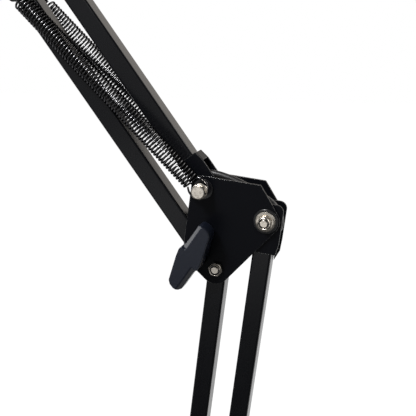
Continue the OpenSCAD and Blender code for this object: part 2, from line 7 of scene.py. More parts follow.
import json
import logging
import math
from collections.abc import Iterable, Sequence
from dataclasses import dataclass, field
from enum import Enum
from typing import Any

import bmesh
import bpy
import numpy as np
from mathutils import Matrix, Vector
from mathutils.bvhtree import BVHTree

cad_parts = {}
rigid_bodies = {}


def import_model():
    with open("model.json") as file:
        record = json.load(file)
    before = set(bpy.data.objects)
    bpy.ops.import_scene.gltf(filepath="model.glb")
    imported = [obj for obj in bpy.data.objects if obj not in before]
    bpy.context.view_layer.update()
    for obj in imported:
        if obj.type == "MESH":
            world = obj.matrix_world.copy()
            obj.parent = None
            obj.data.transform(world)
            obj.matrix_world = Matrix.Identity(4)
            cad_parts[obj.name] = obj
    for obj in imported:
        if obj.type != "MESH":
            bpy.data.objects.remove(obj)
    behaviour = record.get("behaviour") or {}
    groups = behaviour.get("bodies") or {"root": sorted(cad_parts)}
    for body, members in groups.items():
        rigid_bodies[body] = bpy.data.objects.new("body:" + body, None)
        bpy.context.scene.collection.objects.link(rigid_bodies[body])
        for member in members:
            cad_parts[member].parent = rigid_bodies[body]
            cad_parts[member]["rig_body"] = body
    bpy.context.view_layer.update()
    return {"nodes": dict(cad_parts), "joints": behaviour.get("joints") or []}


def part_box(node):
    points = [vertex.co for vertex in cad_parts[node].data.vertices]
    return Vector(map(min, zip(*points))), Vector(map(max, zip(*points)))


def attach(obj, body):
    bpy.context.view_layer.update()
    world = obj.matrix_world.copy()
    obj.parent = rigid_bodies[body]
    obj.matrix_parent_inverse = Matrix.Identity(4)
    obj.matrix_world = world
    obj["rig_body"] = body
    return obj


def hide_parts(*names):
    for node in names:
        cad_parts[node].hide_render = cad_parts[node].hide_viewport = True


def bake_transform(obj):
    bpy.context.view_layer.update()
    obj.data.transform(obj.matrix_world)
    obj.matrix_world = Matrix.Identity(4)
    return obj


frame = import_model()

log = logging.getLogger("desk_lamp")

MM = 0.001
MERGE = 2e-6  # points closer than this are one
FLAT = math.radians(0.8)  # faces nearer to one plane than this become one
EDGE = math.radians(30)  # edges sharper than this get a rounding
SHARP = 35.0  # angle in degrees above which an edge stays sharp
FINE_SHARP = 40.0  # the same on threads and on softened solids
ROUND_SHARP = 50.0  # the same on round pieces with few sides

Pair = tuple[float, float]
Triple = tuple[float, float, float]
Colour = Triple


class Slot(Enum):
    """Material slots of the record."""

    COAT = "black_coat"
    ALLOY = "black_alloy"
    PLATED = "plated_steel"
    DARK = "dark_steel"
    SPRING = "spring_steel"
    BRASS = "brass_sleeve"
    KNOB = "blue_black_plastic"
    PLASTIC = "black_plastic"
    RUBBER = "black_rubber"
    NYLON = "white_nylon"
    LEAD = "lead_jacket"
    LED_BOARD = "board_white"
    DRIVER_BOARD = "board_green"
    OPAL = "diffuser_opal"
    BUTTON = "button_grey"


# Node trees, for shaders and for geometry


class Value:
    """A socket that takes part in arithmetic, so that maths reads as an expression."""

    def __init__(self, nodes: "Nodes", socket: bpy.types.NodeSocket) -> None:
        """Wraps one socket of a tree.

        Args:
            nodes: The tree's builder.
            socket: The output that carries the value.
        """
        self.nodes = nodes
        self.socket = socket

    def maths(self, operation: str, *values: Any) -> "Value":
        """Adds one Math node.

        Args:
            operation: The node's operation.
            values: Its inputs, as values or numbers.

        Returns:
            The node's result.
        """
        return self.nodes.add("ShaderNodeMath", {"operation": operation}, list(values))

    def __add__(self, other: Any) -> "Value":
        """Sum."""
        return self.maths("ADD", self, other)

    __radd__ = __add__

    def __sub__(self, other: Any) -> "Value":
        """Difference."""
        return self.maths("SUBTRACT", self, other)

    def __rsub__(self, other: Any) -> "Value":
        """Difference from a number."""
        return self.maths("SUBTRACT", other, self)

    def __mul__(self, other: Any) -> "Value":
        """Product."""
        return self.maths("MULTIPLY", self, other)

    __rmul__ = __mul__

    def __truediv__(self, other: Any) -> "Value":
        """Quotient."""
        return self.maths("DIVIDE", self, other)

    def __gt__(self, other: Any) -> "Value":
        """One where this is larger, and otherwise nought."""
        return self.maths("GREATER_THAN", self, other)

    def __lt__(self, other: Any) -> "Value":
        """One where this is smaller, and otherwise nought."""
        return self.maths("LESS_THAN", self, other)

    def __abs__(self) -> "Value":
        """Size without its sign."""
        return self.maths("ABSOLUTE", self)

    def least(self, other: Any) -> "Value":
        """The smaller of the two."""
        return self.maths("MINIMUM", self, other)

    def clamped(self) -> "Value":
        """Held between nought and one."""
        return self.maths("MINIMUM", self.maths("MAXIMUM", self, 0.0), 1.0)

    def band(self, low: float, high: float) -> "Value":
        """Rises smoothly from nought at low to one at high.

        Args:
            low: Where the rise starts.
            high: Where it ends.

        Returns:
            The smooth step.
        """
        t = ((self - low) / (high - low)).clamped()
        return t * t * (3 - 2 * t)


class Nodes:
    """Builder of one node tree, whose nodes all come from its add method."""

    def __init__(self, tree: bpy.types.NodeTree) -> None:
        """Empties a tree and takes charge of it."""
        tree.nodes.clear()
        self.tree = tree

    def add(
        self,
        kind: str,
        settings: dict[str, Any] | None = None,
        inputs: Sequence[Any] | dict[Any, Any] | None = None,
        output: int | str = 0,
    ) -> Value:
        """Adds a node.

        Args:
            kind: The node's type.
            settings: Its properties, which are set first.
            inputs: Values or links for its sockets, in order or by name or number.
            output: The socket to return.

        Returns:
            The chosen output.
        """
        node = self.tree.nodes.new(kind)
        for name, value in (settings or {}).items():
            setattr(node, name, value)
        pairs = inputs.items() if isinstance(inputs, dict) else enumerate(inputs or [])
        for key, value in pairs:
            if isinstance(value, Value):
                self.tree.links.new(value.socket, node.inputs[key])
            else:
                node.inputs[key].default_value = value
        return Value(self, node.outputs[output] if len(node.outputs) else None)

    def noise(self, size: float, detail: float = 2, stretch: Triple = (1, 1, 1)) -> Value:
        """Noise on the object's own coordinates.

        Args:
            size: Width of one feature, in metres.
            detail: Octaves of finer noise.
            stretch: How much closer the features stand along each axis.

        Returns:
            A value about 0.5.
        """
        place = self.add("ShaderNodeTexCoord", output="Object")
        place = self.add("ShaderNodeMapping", {}, {"Vector": place, "Scale": stretch})
        scale = {"Vector": place, "Scale": 1 / size, "Detail": detail}
        return self.add("ShaderNodeTexNoise", {}, scale)

    def shade(self, colour: Colour | Value, factor: Value | float) -> Value:
        """A colour made lighter or darker by a factor."""
        return self.add("ShaderNodeVectorMath", {"operation": "SCALE"}, {0: colour, 3: factor})

    def mix(self, factor: Value | float, first: Any, second: Any) -> Value:
        """One colour passing into another.

        Args:
            factor: Share of the second colour.
            first: A colour or a value.
            second: A colour or a value.

        Returns:
            The mixed colour.
        """
        ends = [c if isinstance(c, Value) else (*c, 1) for c in (first, second)]
        inputs = {0: factor, 6: ends[0], 7: ends[1]}
        return self.add("ShaderNodeMix", {"data_type": "RGBA"}, inputs, 2)

    def mark(self, name: str) -> Value:
        """A number that the mesh carries under that name."""
        return self.add("ShaderNodeAttribute", {"attribute_name": name}, output="Fac")

    def axis(self, vector: Value, name: str) -> Value:
        """One axis of a vector."""
        return self.add("ShaderNodeSeparateXYZ", {}, [vector], name)

    def ray(self, kind: str) -> Value:
        """One for light rays of that kind, and otherwise nought."""
        return self.add("ShaderNodeLightPath", output=f"Is {kind} Ray")


# Finishes


@dataclass
class Surface:
    """What varies over a finish.

    Attributes:
        colour: Colour over the surface.
        roughness: Roughness over the surface.
        height: Relief, from nought to one.
        depth: Depth of that relief, in metres.
        coat: Share of a clear glossy film on top.
    """

    colour: Value
    roughness: Value
    height: Value
    depth: float
    coat: Value | float = 0.0


@dataclass(frozen=True)
class Finish:
    """A finish with a fine even grain. Other finishes change its pattern and its sizes.

    Attributes:
        name: The material's name.
        slot: Slot of the record that it belongs to.
        colour: Main colour, linear.
        roughness: Mean roughness.
        metallic: One for bare metal.
        specular: Level of the plain reflection.
        cloud: Size of the soft patches, in metres.
        grain: Size of the grain, in metres.
        depth: Depth of the grain, in metres.
        tone: Share by which the colour varies.
        gloss: Amount by which the roughness varies.
    """

    name: str
    slot: Slot
    colour: Colour
    roughness: float
    metallic: float = 0.0
    specular: float = 0.5
    cloud: float = 14 * MM
    grain: float = 0.5 * MM
    depth: float = 0.01 * MM
    tone: float = 0.2
    gloss: float = 0.12

    def pattern(self, nodes: Nodes) -> Surface:
        """Soft patches over an even grain.

        Args:
            nodes: Builder of the material's tree.

        Returns:
            What varies over the surface.
        """
        cloud = nodes.noise(self.cloud, 3)
        grain = nodes.noise(self.grain, 3)
        return Surface(
            nodes.shade(self.colour, 1 + (cloud - 0.5) * self.tone),
            (cloud - 0.5) * self.gloss + self.roughness,
            grain,
            self.depth,
        )

    def extras(self) -> dict[str, Any]:
        """Further sockets of the shader that are the same all over."""
        return {}

    def material(self) -> bpy.types.Material:
        """The Blender material, made the first time it is asked for.

        Returns:
            The material.
        """
        found = bpy.data.materials.get(self.name)
        if found:
            return found
        made = bpy.data.materials.new(self.name)
        made.use_nodes = True
        made.diffuse_color = (*self.colour, 1)
        nodes = Nodes(made.node_tree)
        surface = self.pattern(nodes)
        relief = {"Strength": 1.0, "Distance": surface.depth, "Height": surface.height}
        sockets = {
            "Base Color": surface.colour,
            "Roughness": surface.roughness,
            "Metallic": self.metallic,
            "Specular IOR Level": self.specular,
            "Coat Weight": surface.coat,
            "Coat Roughness": 0.18,
            "Normal": nodes.add("ShaderNodeBump", {}, relief),
            **self.extras(),
        }
        shader = nodes.add("ShaderNodeBsdfPrincipled", {}, sockets)
        nodes.add("ShaderNodeOutputMaterial", {}, [shader])
        return made


@dataclass(frozen=True)
class PowderCoat(Finish):
    """Satin powder coat: orange peel, and lighter patches on the cut edges, partly rubbed coat and
    partly painted highlight.

    Attributes:
        peel: Sizes of the coarse and the fine orange peel, in metres.
        patch: Size of the patches in which the edges are lighter, in metres.
        wear_and_highlight: Colour of those patches, where the coat has rubbed thin and where a
            highlight is painted along the edge.
        wear_and_highlight_share: Share of the edge that those patches reach at most.
        bead: Share of clear gloss on the edges, where the coat flows into a bead.
    """

    cloud: float = 22 * MM
    peel: Pair = (2.4 * MM, 0.8 * MM)
    patch: float = 2.5 * MM
    wear_and_highlight: Colour = (0.10, 0.10, 0.10)
    wear_and_highlight_share: float = 0.5
    bead: float = 1.0

    def pattern(self, nodes: Nodes) -> Surface:
        """Orange peel in two sizes, with edges lighter in patches, partly rubbed coat and partly
        painted highlight.

        Args:
            nodes: Builder of the material's tree.

        Returns:
            What varies over the surface.
        """
        cloud = nodes.noise(self.cloud, 3)
        coarse, fine = (nodes.noise(size, 2) for size in self.peel)
        peel = coarse * 0.8 + fine * 0.2
        patches = nodes.noise(self.patch, 3).band(0.35, 0.7)
        # Lighter patches on the rounded edges: partly rubbed coat, partly a painted highlight
        # along the edges.
        wear_and_highlight = nodes.mark("edge_wear_and_sheen") * patches * self.wear_and_highlight_share
        plain = nodes.shade(self.colour, 1 + (cloud - 0.5) * self.tone)
        return Surface(
            nodes.mix(wear_and_highlight, plain, self.wear_and_highlight),
            (cloud - 0.5) * self.gloss + self.roughness - wear_and_highlight * 0.08,
            peel,
            self.depth,
            nodes.mark("edge_wear_and_sheen") * self.bead,
        )


@dataclass(frozen=True)
class Plating(Finish):
    """Bright plating on pressed steel: press marks, fine wipe lines, dulled hollows.

    Attributes:
        press: Size of the press marks, in metres.
        wipe: Width of the wipe lines, in metres.
        dull: Colour in the dulled patches.
    """

    press: float = 1.6 * MM
    wipe: float = 0.25 * MM
    dull: Colour = (0.42, 0.38, 0.33)

    def pattern(self, nodes: Nodes) -> Surface:
        """Soft press marks under fine wipe lines.

        Args:
            nodes: Builder of the material's tree.

        Returns:
            What varies over the surface.
        """
        press = nodes.noise(self.press, 3)
        wipe = nodes.noise(self.wipe, 2, stretch=(0.12, 1, 1))
        dulled = press.band(0.5, 0.78)
        return Surface(
            nodes.mix(dulled * 0.7, self.colour, self.dull),
            (press - 0.5) * self.gloss + wipe * 0.08 + self.roughness,
            press * 0.75 + wipe * 0.25,
            self.depth,
        )


@dataclass(frozen=True)
class Turned(Finish):
    """Lathe-turned metal: rings round the Y axis, which every sleeve and pin here has."""

    cloud: float = 3 * MM
    grain: float = 0.35 * MM

    def pattern(self, nodes: Nodes) -> Surface:
        """Fine rings with a soft cloud of tarnish.

        Args:
            nodes: Builder of the material's tree.

        Returns:
            What varies over the surface.
        """
        rings = nodes.noise(self.grain, 2, stretch=(0.02, 1, 0.02))
        cloud = nodes.noise(self.cloud, 3)
        return Surface(
            nodes.shade(self.colour, 1 + (cloud - 0.5) * self.tone + (rings - 0.5) * 0.2),
            (rings - 0.5) * self.gloss + self.roughness,
            rings,
            self.depth,
        )


@dataclass(frozen=True)
class Wire(Finish):
    """Drawn spring wire, blackened, with a thin film of oil."""

    cloud: float = 4 * MM
    grain: float = 0.3 * MM

    def extras(self) -> dict[str, Any]:
        """The dark oxide swallows what glances off the wire."""
        return {"Specular Tint": (0, 0, 0, 1)}

    def pattern(self, nodes: Nodes) -> Surface:
        """Dull and bright patches along the wire.

        Args:
            nodes: Builder of the material's tree.

        Returns:
            What varies over the surface.
        """
        oil = nodes.noise(self.cloud, 3)
        draw = nodes.noise(self.grain, 2)
        return Surface(
            nodes.shade(self.colour, 1 + (oil - 0.5) * self.tone),
            (oil - 0.5) * self.gloss + (draw - 0.5) * 0.08 + self.roughness,
            draw,
            self.depth,
        )


@dataclass(frozen=True)
class Opal(Finish):
    """Milky acrylic that lets light in."""

    def extras(self) -> dict[str, Any]:
        """Light scattered a few millimetres inside."""
        return {"Subsurface Weight": 0.35, "Subsurface Scale": 3 * MM}


@dataclass(frozen=True)
class CircuitBoard(Finish):
    """Solder mask over copper tracks.

    Attributes:
        track: Pitch of the tracks, in metres.
        wave: Blender's own pitch of such bands, at a scale of one.
    """

    grain: float = 0.6 * MM
    track: float = 2.4 * MM
    wave: float = 0.314

    def pattern(self, nodes: Nodes) -> Surface:
        """Straight tracks that show faintly through the mask.

        Args:
            nodes: Builder of the material's tree.

        Returns:
            What varies over the surface.
        """
        place = nodes.add("ShaderNodeTexCoord", output="Object")
        wave = {"Vector": place, "Scale": self.wave / self.track, "Distortion": 0.0}
        settings = {"wave_type": "BANDS", "bands_direction": "Y", "wave_profile": "SAW"}
        lines = nodes.add("ShaderNodeTexWave", settings, wave, "Fac")
        tracks = (abs(lines - 0.5) * 2).band(0.55, 0.7)
        mask = nodes.noise(self.grain, 3)
        return Surface(
            nodes.shade(self.colour, 1 - tracks * 0.12 + (mask - 0.5) * self.tone),
            (mask - 0.5) * self.gloss + self.roughness,
            tracks * 0.6 + mask * 0.4,
            self.depth,
        )


TUBE_COAT = PowderCoat(
    "tube_coat", Slot.COAT, (0.0022, 0.0024, 0.0034), 0.27, specular=0.32, wear_and_highlight_share=0.2
)
PLATE_COAT = PowderCoat(
    "plate_coat", Slot.COAT, (0.0018, 0.0021, 0.0034), 0.4, specular=0.1, wear_and_highlight_share=0.45
)
CLAMP_COAT = PowderCoat("clamp_coat", Slot.COAT, (0.005, 0.0052, 0.006), 0.38, specular=0.45)
ALLOY = PowderCoat(
    "black_anodised", Slot.ALLOY, (0.007, 0.0074, 0.009), 0.34, specular=0.45,
    depth=0.004 * MM, wear_and_highlight_share=0.35,
)
NICKEL = Plating(
    "warm_nickel", Slot.PLATED, (0.83, 0.77, 0.68), 0.2, metallic=1.0, depth=0.02 * MM
)
DARK_STEEL = Turned("blackened_steel", Slot.DARK, (0.006, 0.006, 0.007), 0.3, specular=0.5)
SPRING_WIRE = Wire(
    "black_spring_wire", Slot.SPRING, (0.1, 0.1, 0.104), 0.15, metallic=1.0, tone=0.5,
    gloss=0.04, depth=0.002 * MM,
)
BRASS = Turned("turned_brass", Slot.BRASS, (0.72, 0.52, 0.24), 0.28, metallic=1.0)
KNOB_PLASTIC = Finish(
    "blue_black_nylon", Slot.KNOB, (0.0060, 0.0080, 0.0145), 0.33, specular=0.4, grain=0.28 * MM
)
PLASTIC = Finish(
    "black_moulding", Slot.PLASTIC, (0.005, 0.005, 0.0058), 0.32, specular=0.5, grain=0.3 * MM
)
RUBBER = Finish(
    "black_rubber_pad", Slot.RUBBER, (0.012, 0.012, 0.012), 0.75, grain=0.4 * MM, depth=0.03 * MM
)
NYLON = Finish("natural_nylon", Slot.NYLON, (0.80, 0.78, 0.70), 0.45, grain=0.3 * MM)
JACKET = Finish(
    "cable_jacket", Slot.LEAD, (0.012, 0.012, 0.0125), 0.4, grain=0.5 * MM, depth=0.006 * MM
)
LED_BOARD = CircuitBoard("white_board", Slot.LED_BOARD, (0.82, 0.82, 0.79), 0.35, tone=0.05)
LED_CASE = Finish("led_case", Slot.LED_BOARD, (0.85, 0.85, 0.83), 0.4, tone=0.04)
PHOSPHOR = Finish("led_phosphor", Slot.LED_BOARD, (0.80, 0.62, 0.10), 0.3, tone=0.1)
GREEN_BOARD = CircuitBoard("green_board", Slot.DRIVER_BOARD, (0.02, 0.16, 0.06), 0.32)
OPAL_PANEL = Opal("opal_panel", Slot.OPAL, (0.86, 0.86, 0.83), 0.38, tone=0.03)
SOFT_BUTTON = Finish("soft_button", Slot.BUTTON, (0.045, 0.046, 0.05), 0.6, grain=0.3 * MM)


# Mesh building


@dataclass
class Shape:
    """Points and faces of a mesh under construction, in metres.

    Attributes:
        points: Every point so far.
        faces: Every face so far, as numbers of its points.
    """

    points: list[Sequence[float]] = field(default_factory=list)
    faces: list[Sequence[int]] = field(default_factory=list)

    def loft(
        self, loops: Sequence[np.ndarray], place: Matrix | None = None, closed: bool = False
    ) -> None:
        """Adds a skin through closed loops of as many points each.

        Args:
            loops: Arrays of points, one row a point.
            place: Where the skin goes.
            closed: Joins the last loop to the first, and otherwise both ends are capped.
        """
        start = len(self.points)
        count = len(loops[0])
        placing = place or Matrix.Identity(4)
        for loop in loops:
            self.points.extend(tuple(placing @ Vector(p)) for p in loop)
        pairs = [(i, i + 1) for i in range(len(loops) - 1)]
        if closed:
            pairs.append((len(loops) - 1, 0))
        for low, high in pairs:
            for k in range(count):
                m = (k + 1) % count
                a, b = start + low * count, start + high * count
                self.faces.append((a + k, a + m, b + m, b + k))
        if not closed:
            last = start + (len(loops) - 1) * count
            self.faces.append(tuple(start + k for k in reversed(range(count))))
            self.faces.append(tuple(last + k for k in range(count)))

    def mesh(self, name: str, sharp: float = SHARP) -> bpy.types.Mesh:
        """The finished mesh, merged, facing outwards and smooth but for its sharp edges.

        Args:
            name: The mesh's name.
            sharp: Angle above which an edge stays sharp, in degrees.

        Returns:
            The mesh.
        """
        made = bpy.data.meshes.new(name)
        made.from_pydata(self.points, [], self.faces)
        body = bmesh.new()
        body.from_mesh(made)
        bmesh.ops.remove_doubles(body, verts=body.verts, dist=MERGE)
        bmesh.ops.recalc_face_normals(body, faces=body.faces)
        body.to_mesh(made)
        body.free()
        smooth(made, sharp)
        return made


def smooth(mesh: bpy.types.Mesh, sharp: float) -> None:
    """Shades a mesh smooth, but for edges sharper than an angle in degrees."""
    mesh.shade_smooth()
    mesh.set_sharp_from_angle(angle=math.radians(sharp))


def around(sides: int) -> np.ndarray:
    """Angles of that many points round a circle."""
    return np.arange(sides) * math.tau / sides


def ring(radius: float | np.ndarray, height: float | np.ndarray, sides: int) -> np.ndarray:
    """A loop round the Z axis.

    Args:
        radius: One radius, or one for each point.
        height: One height, or one for each point.
        sides: How many points the loop has.

    Returns:
        The loop's points.
    """
    angle = around(sides)
    level = np.broadcast_to(height, sides)
    return np.column_stack([radius * np.cos(angle), radius * np.sin(angle), level])


def lathe(
    profile: Sequence[Pair], sides: int, place: Matrix | None = None, closed: bool = False
) -> Shape:
    """A round shape from its profile.

    Args:
        profile: Radius and height of each loop, up the Z axis.
        sides: Points round it.
        place: Where it goes.
        closed: Joins the last loop to the first, and otherwise both ends are capped.

    Returns:
        The shape.
    """
    shape = Shape()
    shape.loft([ring(radius, height, sides) for radius, height in profile], place, closed)
    return shape


def block(levels: Iterable[Triple], x: float = 0.0, y: float = 0.0) -> Shape:
    """A four-sided shape from its levels.

    Args:
        levels: Half the length, half the width and the height of each level.
        x: Where its middle stands across.
        y: Where its middle stands along Y.

    Returns:
        The shape.
    """
    corners = ((-1, -1), (1, -1), (1, 1), (-1, 1))
    shape = Shape()
    shape.loft([
        np.array([(x + sx * wide, y + sy * deep, z) for sx, sy in corners])
        for wide, deep, z in levels
    ])
    return shape


def along_y(x: float, y: float, z: float, front: bool, turn: float = 0.0) -> Matrix:
    """Place for a shape whose Z axis is to lie along Y.

    Args:
        x: Across.
        y: Where the shape's base stands.
        z: Height.
        front: True to point to -Y, False to +Y.
        turn: Angle about its own axis, in degrees.

    Returns:
        The place.
    """
    tip = Matrix.Rotation(math.radians(90 if front else -90), 4, "X")
    own = Matrix.Rotation(math.radians(turn), 4, "Z")
    return Matrix.Translation((x, y, z)) @ tip @ own


def linked(name: str, data: bpy.types.ID) -> bpy.types.Object:
    """A new object in the scene.

    Args:
        name: Its name.
        data: The mesh, lamp or camera that it holds.

    Returns:
        The object.
    """
    made = bpy.data.objects.new(name, data)
    bpy.context.scene.collection.objects.link(made)
    return made


def dressed(
    mesh: bpy.types.Mesh, name: str, finish: Finish, body: str | None, nodes: Iterable[str] = ()
) -> bpy.types.Object:
    """Makes a mesh a piece of the lamp.

    Args:
        mesh: The mesh, in the frame.
        name: The piece's name.
        finish: Its finish.
        body: The body that it rides on, or None to leave it on no body.
        nodes: Solids that it stands for.

    Returns:
        The piece.
    """
    piece = linked(name, mesh)
    mesh.materials.clear()
    mesh.materials.append(finish.material())
    if nodes:
        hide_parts(*nodes)
    if body:
        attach(piece, body)
    log.info("%s: %d faces, %s", name, len(mesh.polygons), finish.name)
    return piece


def weighted(piece: bpy.types.Object) -> None:
    """Lets large faces set the shading, so that flats look flat between rounded edges.

    Args:
        piece: The piece.
    """
    fair = piece.modifiers.new("fair", "WEIGHTED_NORMAL")
    fair.keep_sharp = True
    fair.weight = 80


def softened(
    node: str, finish: Finish, width: float, segments: int = 2, merge: float = MERGE,
    clamp: bool = False,
) -> bpy.types.Object:
    """A copy of a rigid solid with rounded edges, which stands for it.

    Args:
        node: The solid.
        finish: Its finish.
        width: Width of the rounding, in metres.
        segments: Faces across the rounding.
        merge: Distance below which two points become one, in metres.
        clamp: Narrows the rounding where two edges run close together.

    Returns:
        The piece.
    """
    body = bmesh.new()
    body.from_mesh(frame["nodes"][node].data)
    bmesh.ops.remove_doubles(body, verts=body.verts, dist=merge)
    bmesh.ops.dissolve_limit(body, angle_limit=FLAT, verts=body.verts, edges=body.edges)
    # The rounded faces carry a mark that the coat reads for its gloss bead and for its lighter
    # edges, partly rubbed coat and partly painted highlight.
    edge_wear_and_sheen_layer = body.faces.layers.float.new("edge_wear_and_sheen")
    rim = [e for e in body.edges if len(e.link_faces) == 2 and e.calc_face_angle(0) > EDGE]
    shell = BVHTree.FromBMesh(body)
    made = bmesh.ops.bevel(
        body, geom=rim, offset=width, offset_type="OFFSET", segments=segments, profile=0.5,
        affect="EDGES", clamp_overlap=clamp, material=-1,
    )
    for face in made["faces"]:
        face[edge_wear_and_sheen_layer] = 1.0
    # Where two roundings meet, one can throw a point far out. It goes back to the surface.
    for point in body.verts:
        near, _, _, away = shell.find_nearest(point.co)
        if away > width:
            point.co = near
    mesh = bpy.data.meshes.new(node)
    body.to_mesh(mesh)
    body.free()
    smooth(mesh, FINE_SHARP)
    piece = dressed(mesh, f"{node}.finished", finish, frame["nodes"][node]["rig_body"], [node])
    weighted(piece)
    return piece


# Geometry Nodes


class Recipe:
    """A Geometry Nodes tree with named inputs, which ends as one dressed mesh."""

    def __init__(self, name: str, inputs: dict[str, str]) -> None:
        """Starts a tree.

        Args:
            name: The tree's name.
            inputs: Kind of each named input, as a socket type without its prefix.
        """
        tree = bpy.data.node_groups.new(name, "GeometryNodeTree")
        self.nodes = Nodes(tree)
        self.keys: dict[str, str] = {}
        side = tree.interface
        side.new_socket("Geometry", in_out="INPUT", socket_type="NodeSocketGeometry")
        for label, kind in {**inputs, "Finish": "Material"}.items():
            item = side.new_socket(label, in_out="INPUT", socket_type=f"NodeSocket{kind}")
            self.keys[label] = item.identifier
        side.new_socket("Geometry", in_out="OUTPUT", socket_type="NodeSocketGeometry")
        self.entry = tree.nodes.new("NodeGroupInput")

    def given(self, label: str) -> Value:
        """The input of that name."""
        return Value(self.nodes, self.entry.outputs[label])

    def end(self, geometry: Value) -> None:
        """Closes the tree: real geometry, with its material.

        Args:
            geometry: What the tree has made.
        """
        real = self.nodes.add("GeometryNodeRealizeInstances", {}, [geometry])
        inputs = {"Geometry": real, "Material": self.given("Finish")}
        dress = self.nodes.add("GeometryNodeSetMaterial", {}, inputs)
        self.nodes.add("NodeGroupOutput", {}, [dress])

    def mesh(
        self, name: str, carrier: bpy.types.Mesh, finish: Finish, sharp: float, **values: Any
    ) -> bpy.types.Mesh:
        """Runs the tree on a mesh.

        Args:
            name: Name of the result.
            carrier: Points or lines that the tree starts from.
            finish: The finish.
            sharp: Angle above which an edge stays sharp, in degrees.
            values: The named inputs, with low lines for blanks.

        Returns:
            A plain mesh.
        """
        holder = linked(name, carrier)
        maker = holder.modifiers.new("recipe", "NODES")
        maker.node_group = self.nodes.tree
        maker[self.keys["Finish"]] = finish.material()
        for label, value in values.items():
            maker[self.keys[label]] = value
        shown = holder.evaluated_get(bpy.context.evaluated_depsgraph_get())
        made = bpy.data.meshes.new_from_object(shown)
        holder.modifiers.remove(maker)
        bpy.data.objects.remove(holder)
        made.name = name
        smooth(made, sharp)
        return made


def tube_recipe() -> Recipe:
    """Round tube along a line.

    Returns:
        The tree.
    """
    made = Recipe("tube_along_line", {"Radius": "Float", "Sides": "Int"})
    n = made.nodes
    line = n.add("GeometryNodeMeshToCurve", {}, [made.given("Geometry")])
    size = {"Resolution": made.given("Sides"), "Radius": made.given("Radius")}
    circle = n.add("GeometryNodeCurvePrimitiveCircle", {"mode": "RADIUS"}, size)
    inputs = {"Curve": line, "Profile Curve": circle, "Fill Caps": True}
    made.end(n.add("GeometryNodeCurveToMesh", {}, inputs))
    return made


def repeat_recipe() -> Recipe:
    """A piece set at each point, turned as the point's facing says.

    Returns:
        The tree.
    """
    made = Recipe("piece_at_points", {"Piece": "Object"})
    n = made.nodes
    piece = n.add("GeometryNodeObjectInfo", {}, {"Object": made.given("Piece")}, "Geometry")
    facing = n.add(
        "GeometryNodeInputNamedAttribute", {"data_type": "FLOAT_VECTOR"}, {"Name": "facing"}
    )
    turned = n.add("FunctionNodeEulerToRotation", {}, [facing])
    inputs = {"Points": made.given("Geometry"), "Instance": piece, "Rotation": turned}
    made.end(n.add("GeometryNodeInstanceOnPoints", {}, inputs))
    return made


def thread_recipe() -> Recipe:
    """Screw thread up the Z axis, from a flat grid rolled round it.

    Returns:
        The tree.
    """
    sizes = ("Radius", "Depth", "Pitch", "Length", "Chamfer")
    made = Recipe("screw_thread", {**dict.fromkeys(sizes, "Float"), "Rows": "Int", "Sides": "Int"})
    n = made.nodes
    radius, depth, pitch, length, chamfer = (made.given(s) for s in sizes)
    rows = made.given("Rows")
    size = {"Size X": 1.0, "Size Y": 1.0, "Vertices X": made.given("Sides"), "Vertices Y": rows}
    grid = n.add("GeometryNodeMeshGrid", {}, size)
    flat = n.add("GeometryNodeInputPosition")
    x, y = n.axis(flat, "X"), n.axis(flat, "Y")
    share, row = x + 0.5, (y + 0.5) * (rows - 1)
    height = ((row - 1) / (rows - 3)).clamped() * length
    turns = height / pitch - share
    wave = turns.maths("FRACT", turns)
    slope, flat_crest = 1.6, 0.3
    crest = radius - depth * (abs(wave * 2 - 1) * slope - flat_crest).clamped()
    taper = radius - chamfer + height.least(length - height)
    # The first and the last row lie on the axis and close the ends.
    inside = (row > 0.5) * (row < rows - 1.5)
    reach = crest.least(taper) * inside
    angle = share * math.tau
    around_x = reach * angle.maths("COSINE", angle)
    around_y = reach * angle.maths("SINE", angle)
    rolled = n.add("ShaderNodeCombineXYZ", {}, [around_x, around_y, height])
    placed = n.add("GeometryNodeSetPosition", {}, {"Geometry": grid, "Position": rolled})
    made.end(n.add("GeometryNodeMergeByDistance", {}, {"Geometry": placed, "Distance": MERGE}))
    return made


def array_recipe() -> Recipe:
    """A piece set in even rows and columns about the carrier's only point.

    Returns:
        The tree.
    """
    counts, sizes = dict.fromkeys(("Columns", "Rows"), "Int"), ("Length", "Width")
    kinds = {"Piece": "Object", **counts, **dict.fromkeys(sizes, "Float")}
    made = Recipe("rows_of_pieces", kinds)
    n = made.nodes
    size = {
        "Size X": made.given("Length"),
        "Size Y": made.given("Width"),
        "Vertices X": made.given("Columns"),
        "Vertices Y": made.given("Rows"),
    }
    grid = n.add("GeometryNodeMeshGrid", {}, size)
    piece = n.add("GeometryNodeObjectInfo", {}, {"Object": made.given("Piece")}, "Geometry")
    rows = n.add("GeometryNodeInstanceOnPoints", {}, {"Points": grid, "Instance": piece})
    inputs = {"Points": made.given("Geometry"), "Instance": rows}
    made.end(n.add("GeometryNodeInstanceOnPoints", {}, inputs))
    return made


TUBE = tube_recipe()
REPEAT = repeat_recipe()
THREAD = thread_recipe()
ARRAY = array_recipe()


def line_mesh(points: np.ndarray) -> bpy.types.Mesh:
    """An open line through points, for a tree to start from.

    Args:
        points: The points in order, one row a point.

    Returns:
        A mesh of edges.
    """
    made = bpy.data.meshes.new("line")
    edges = [(i, i + 1) for i in range(len(points) - 1)]
    made.from_pydata([tuple(p) for p in points], edges, [])
    return made


def tube_mesh(
    name: str, points: np.ndarray, radius: float, sides: int, finish: Finish
) -> bpy.types.Mesh:
    """A round tube along points."""
    return TUBE.mesh(name, line_mesh(points), finish, ROUND_SHARP, Radius=radius, Sides=sides)


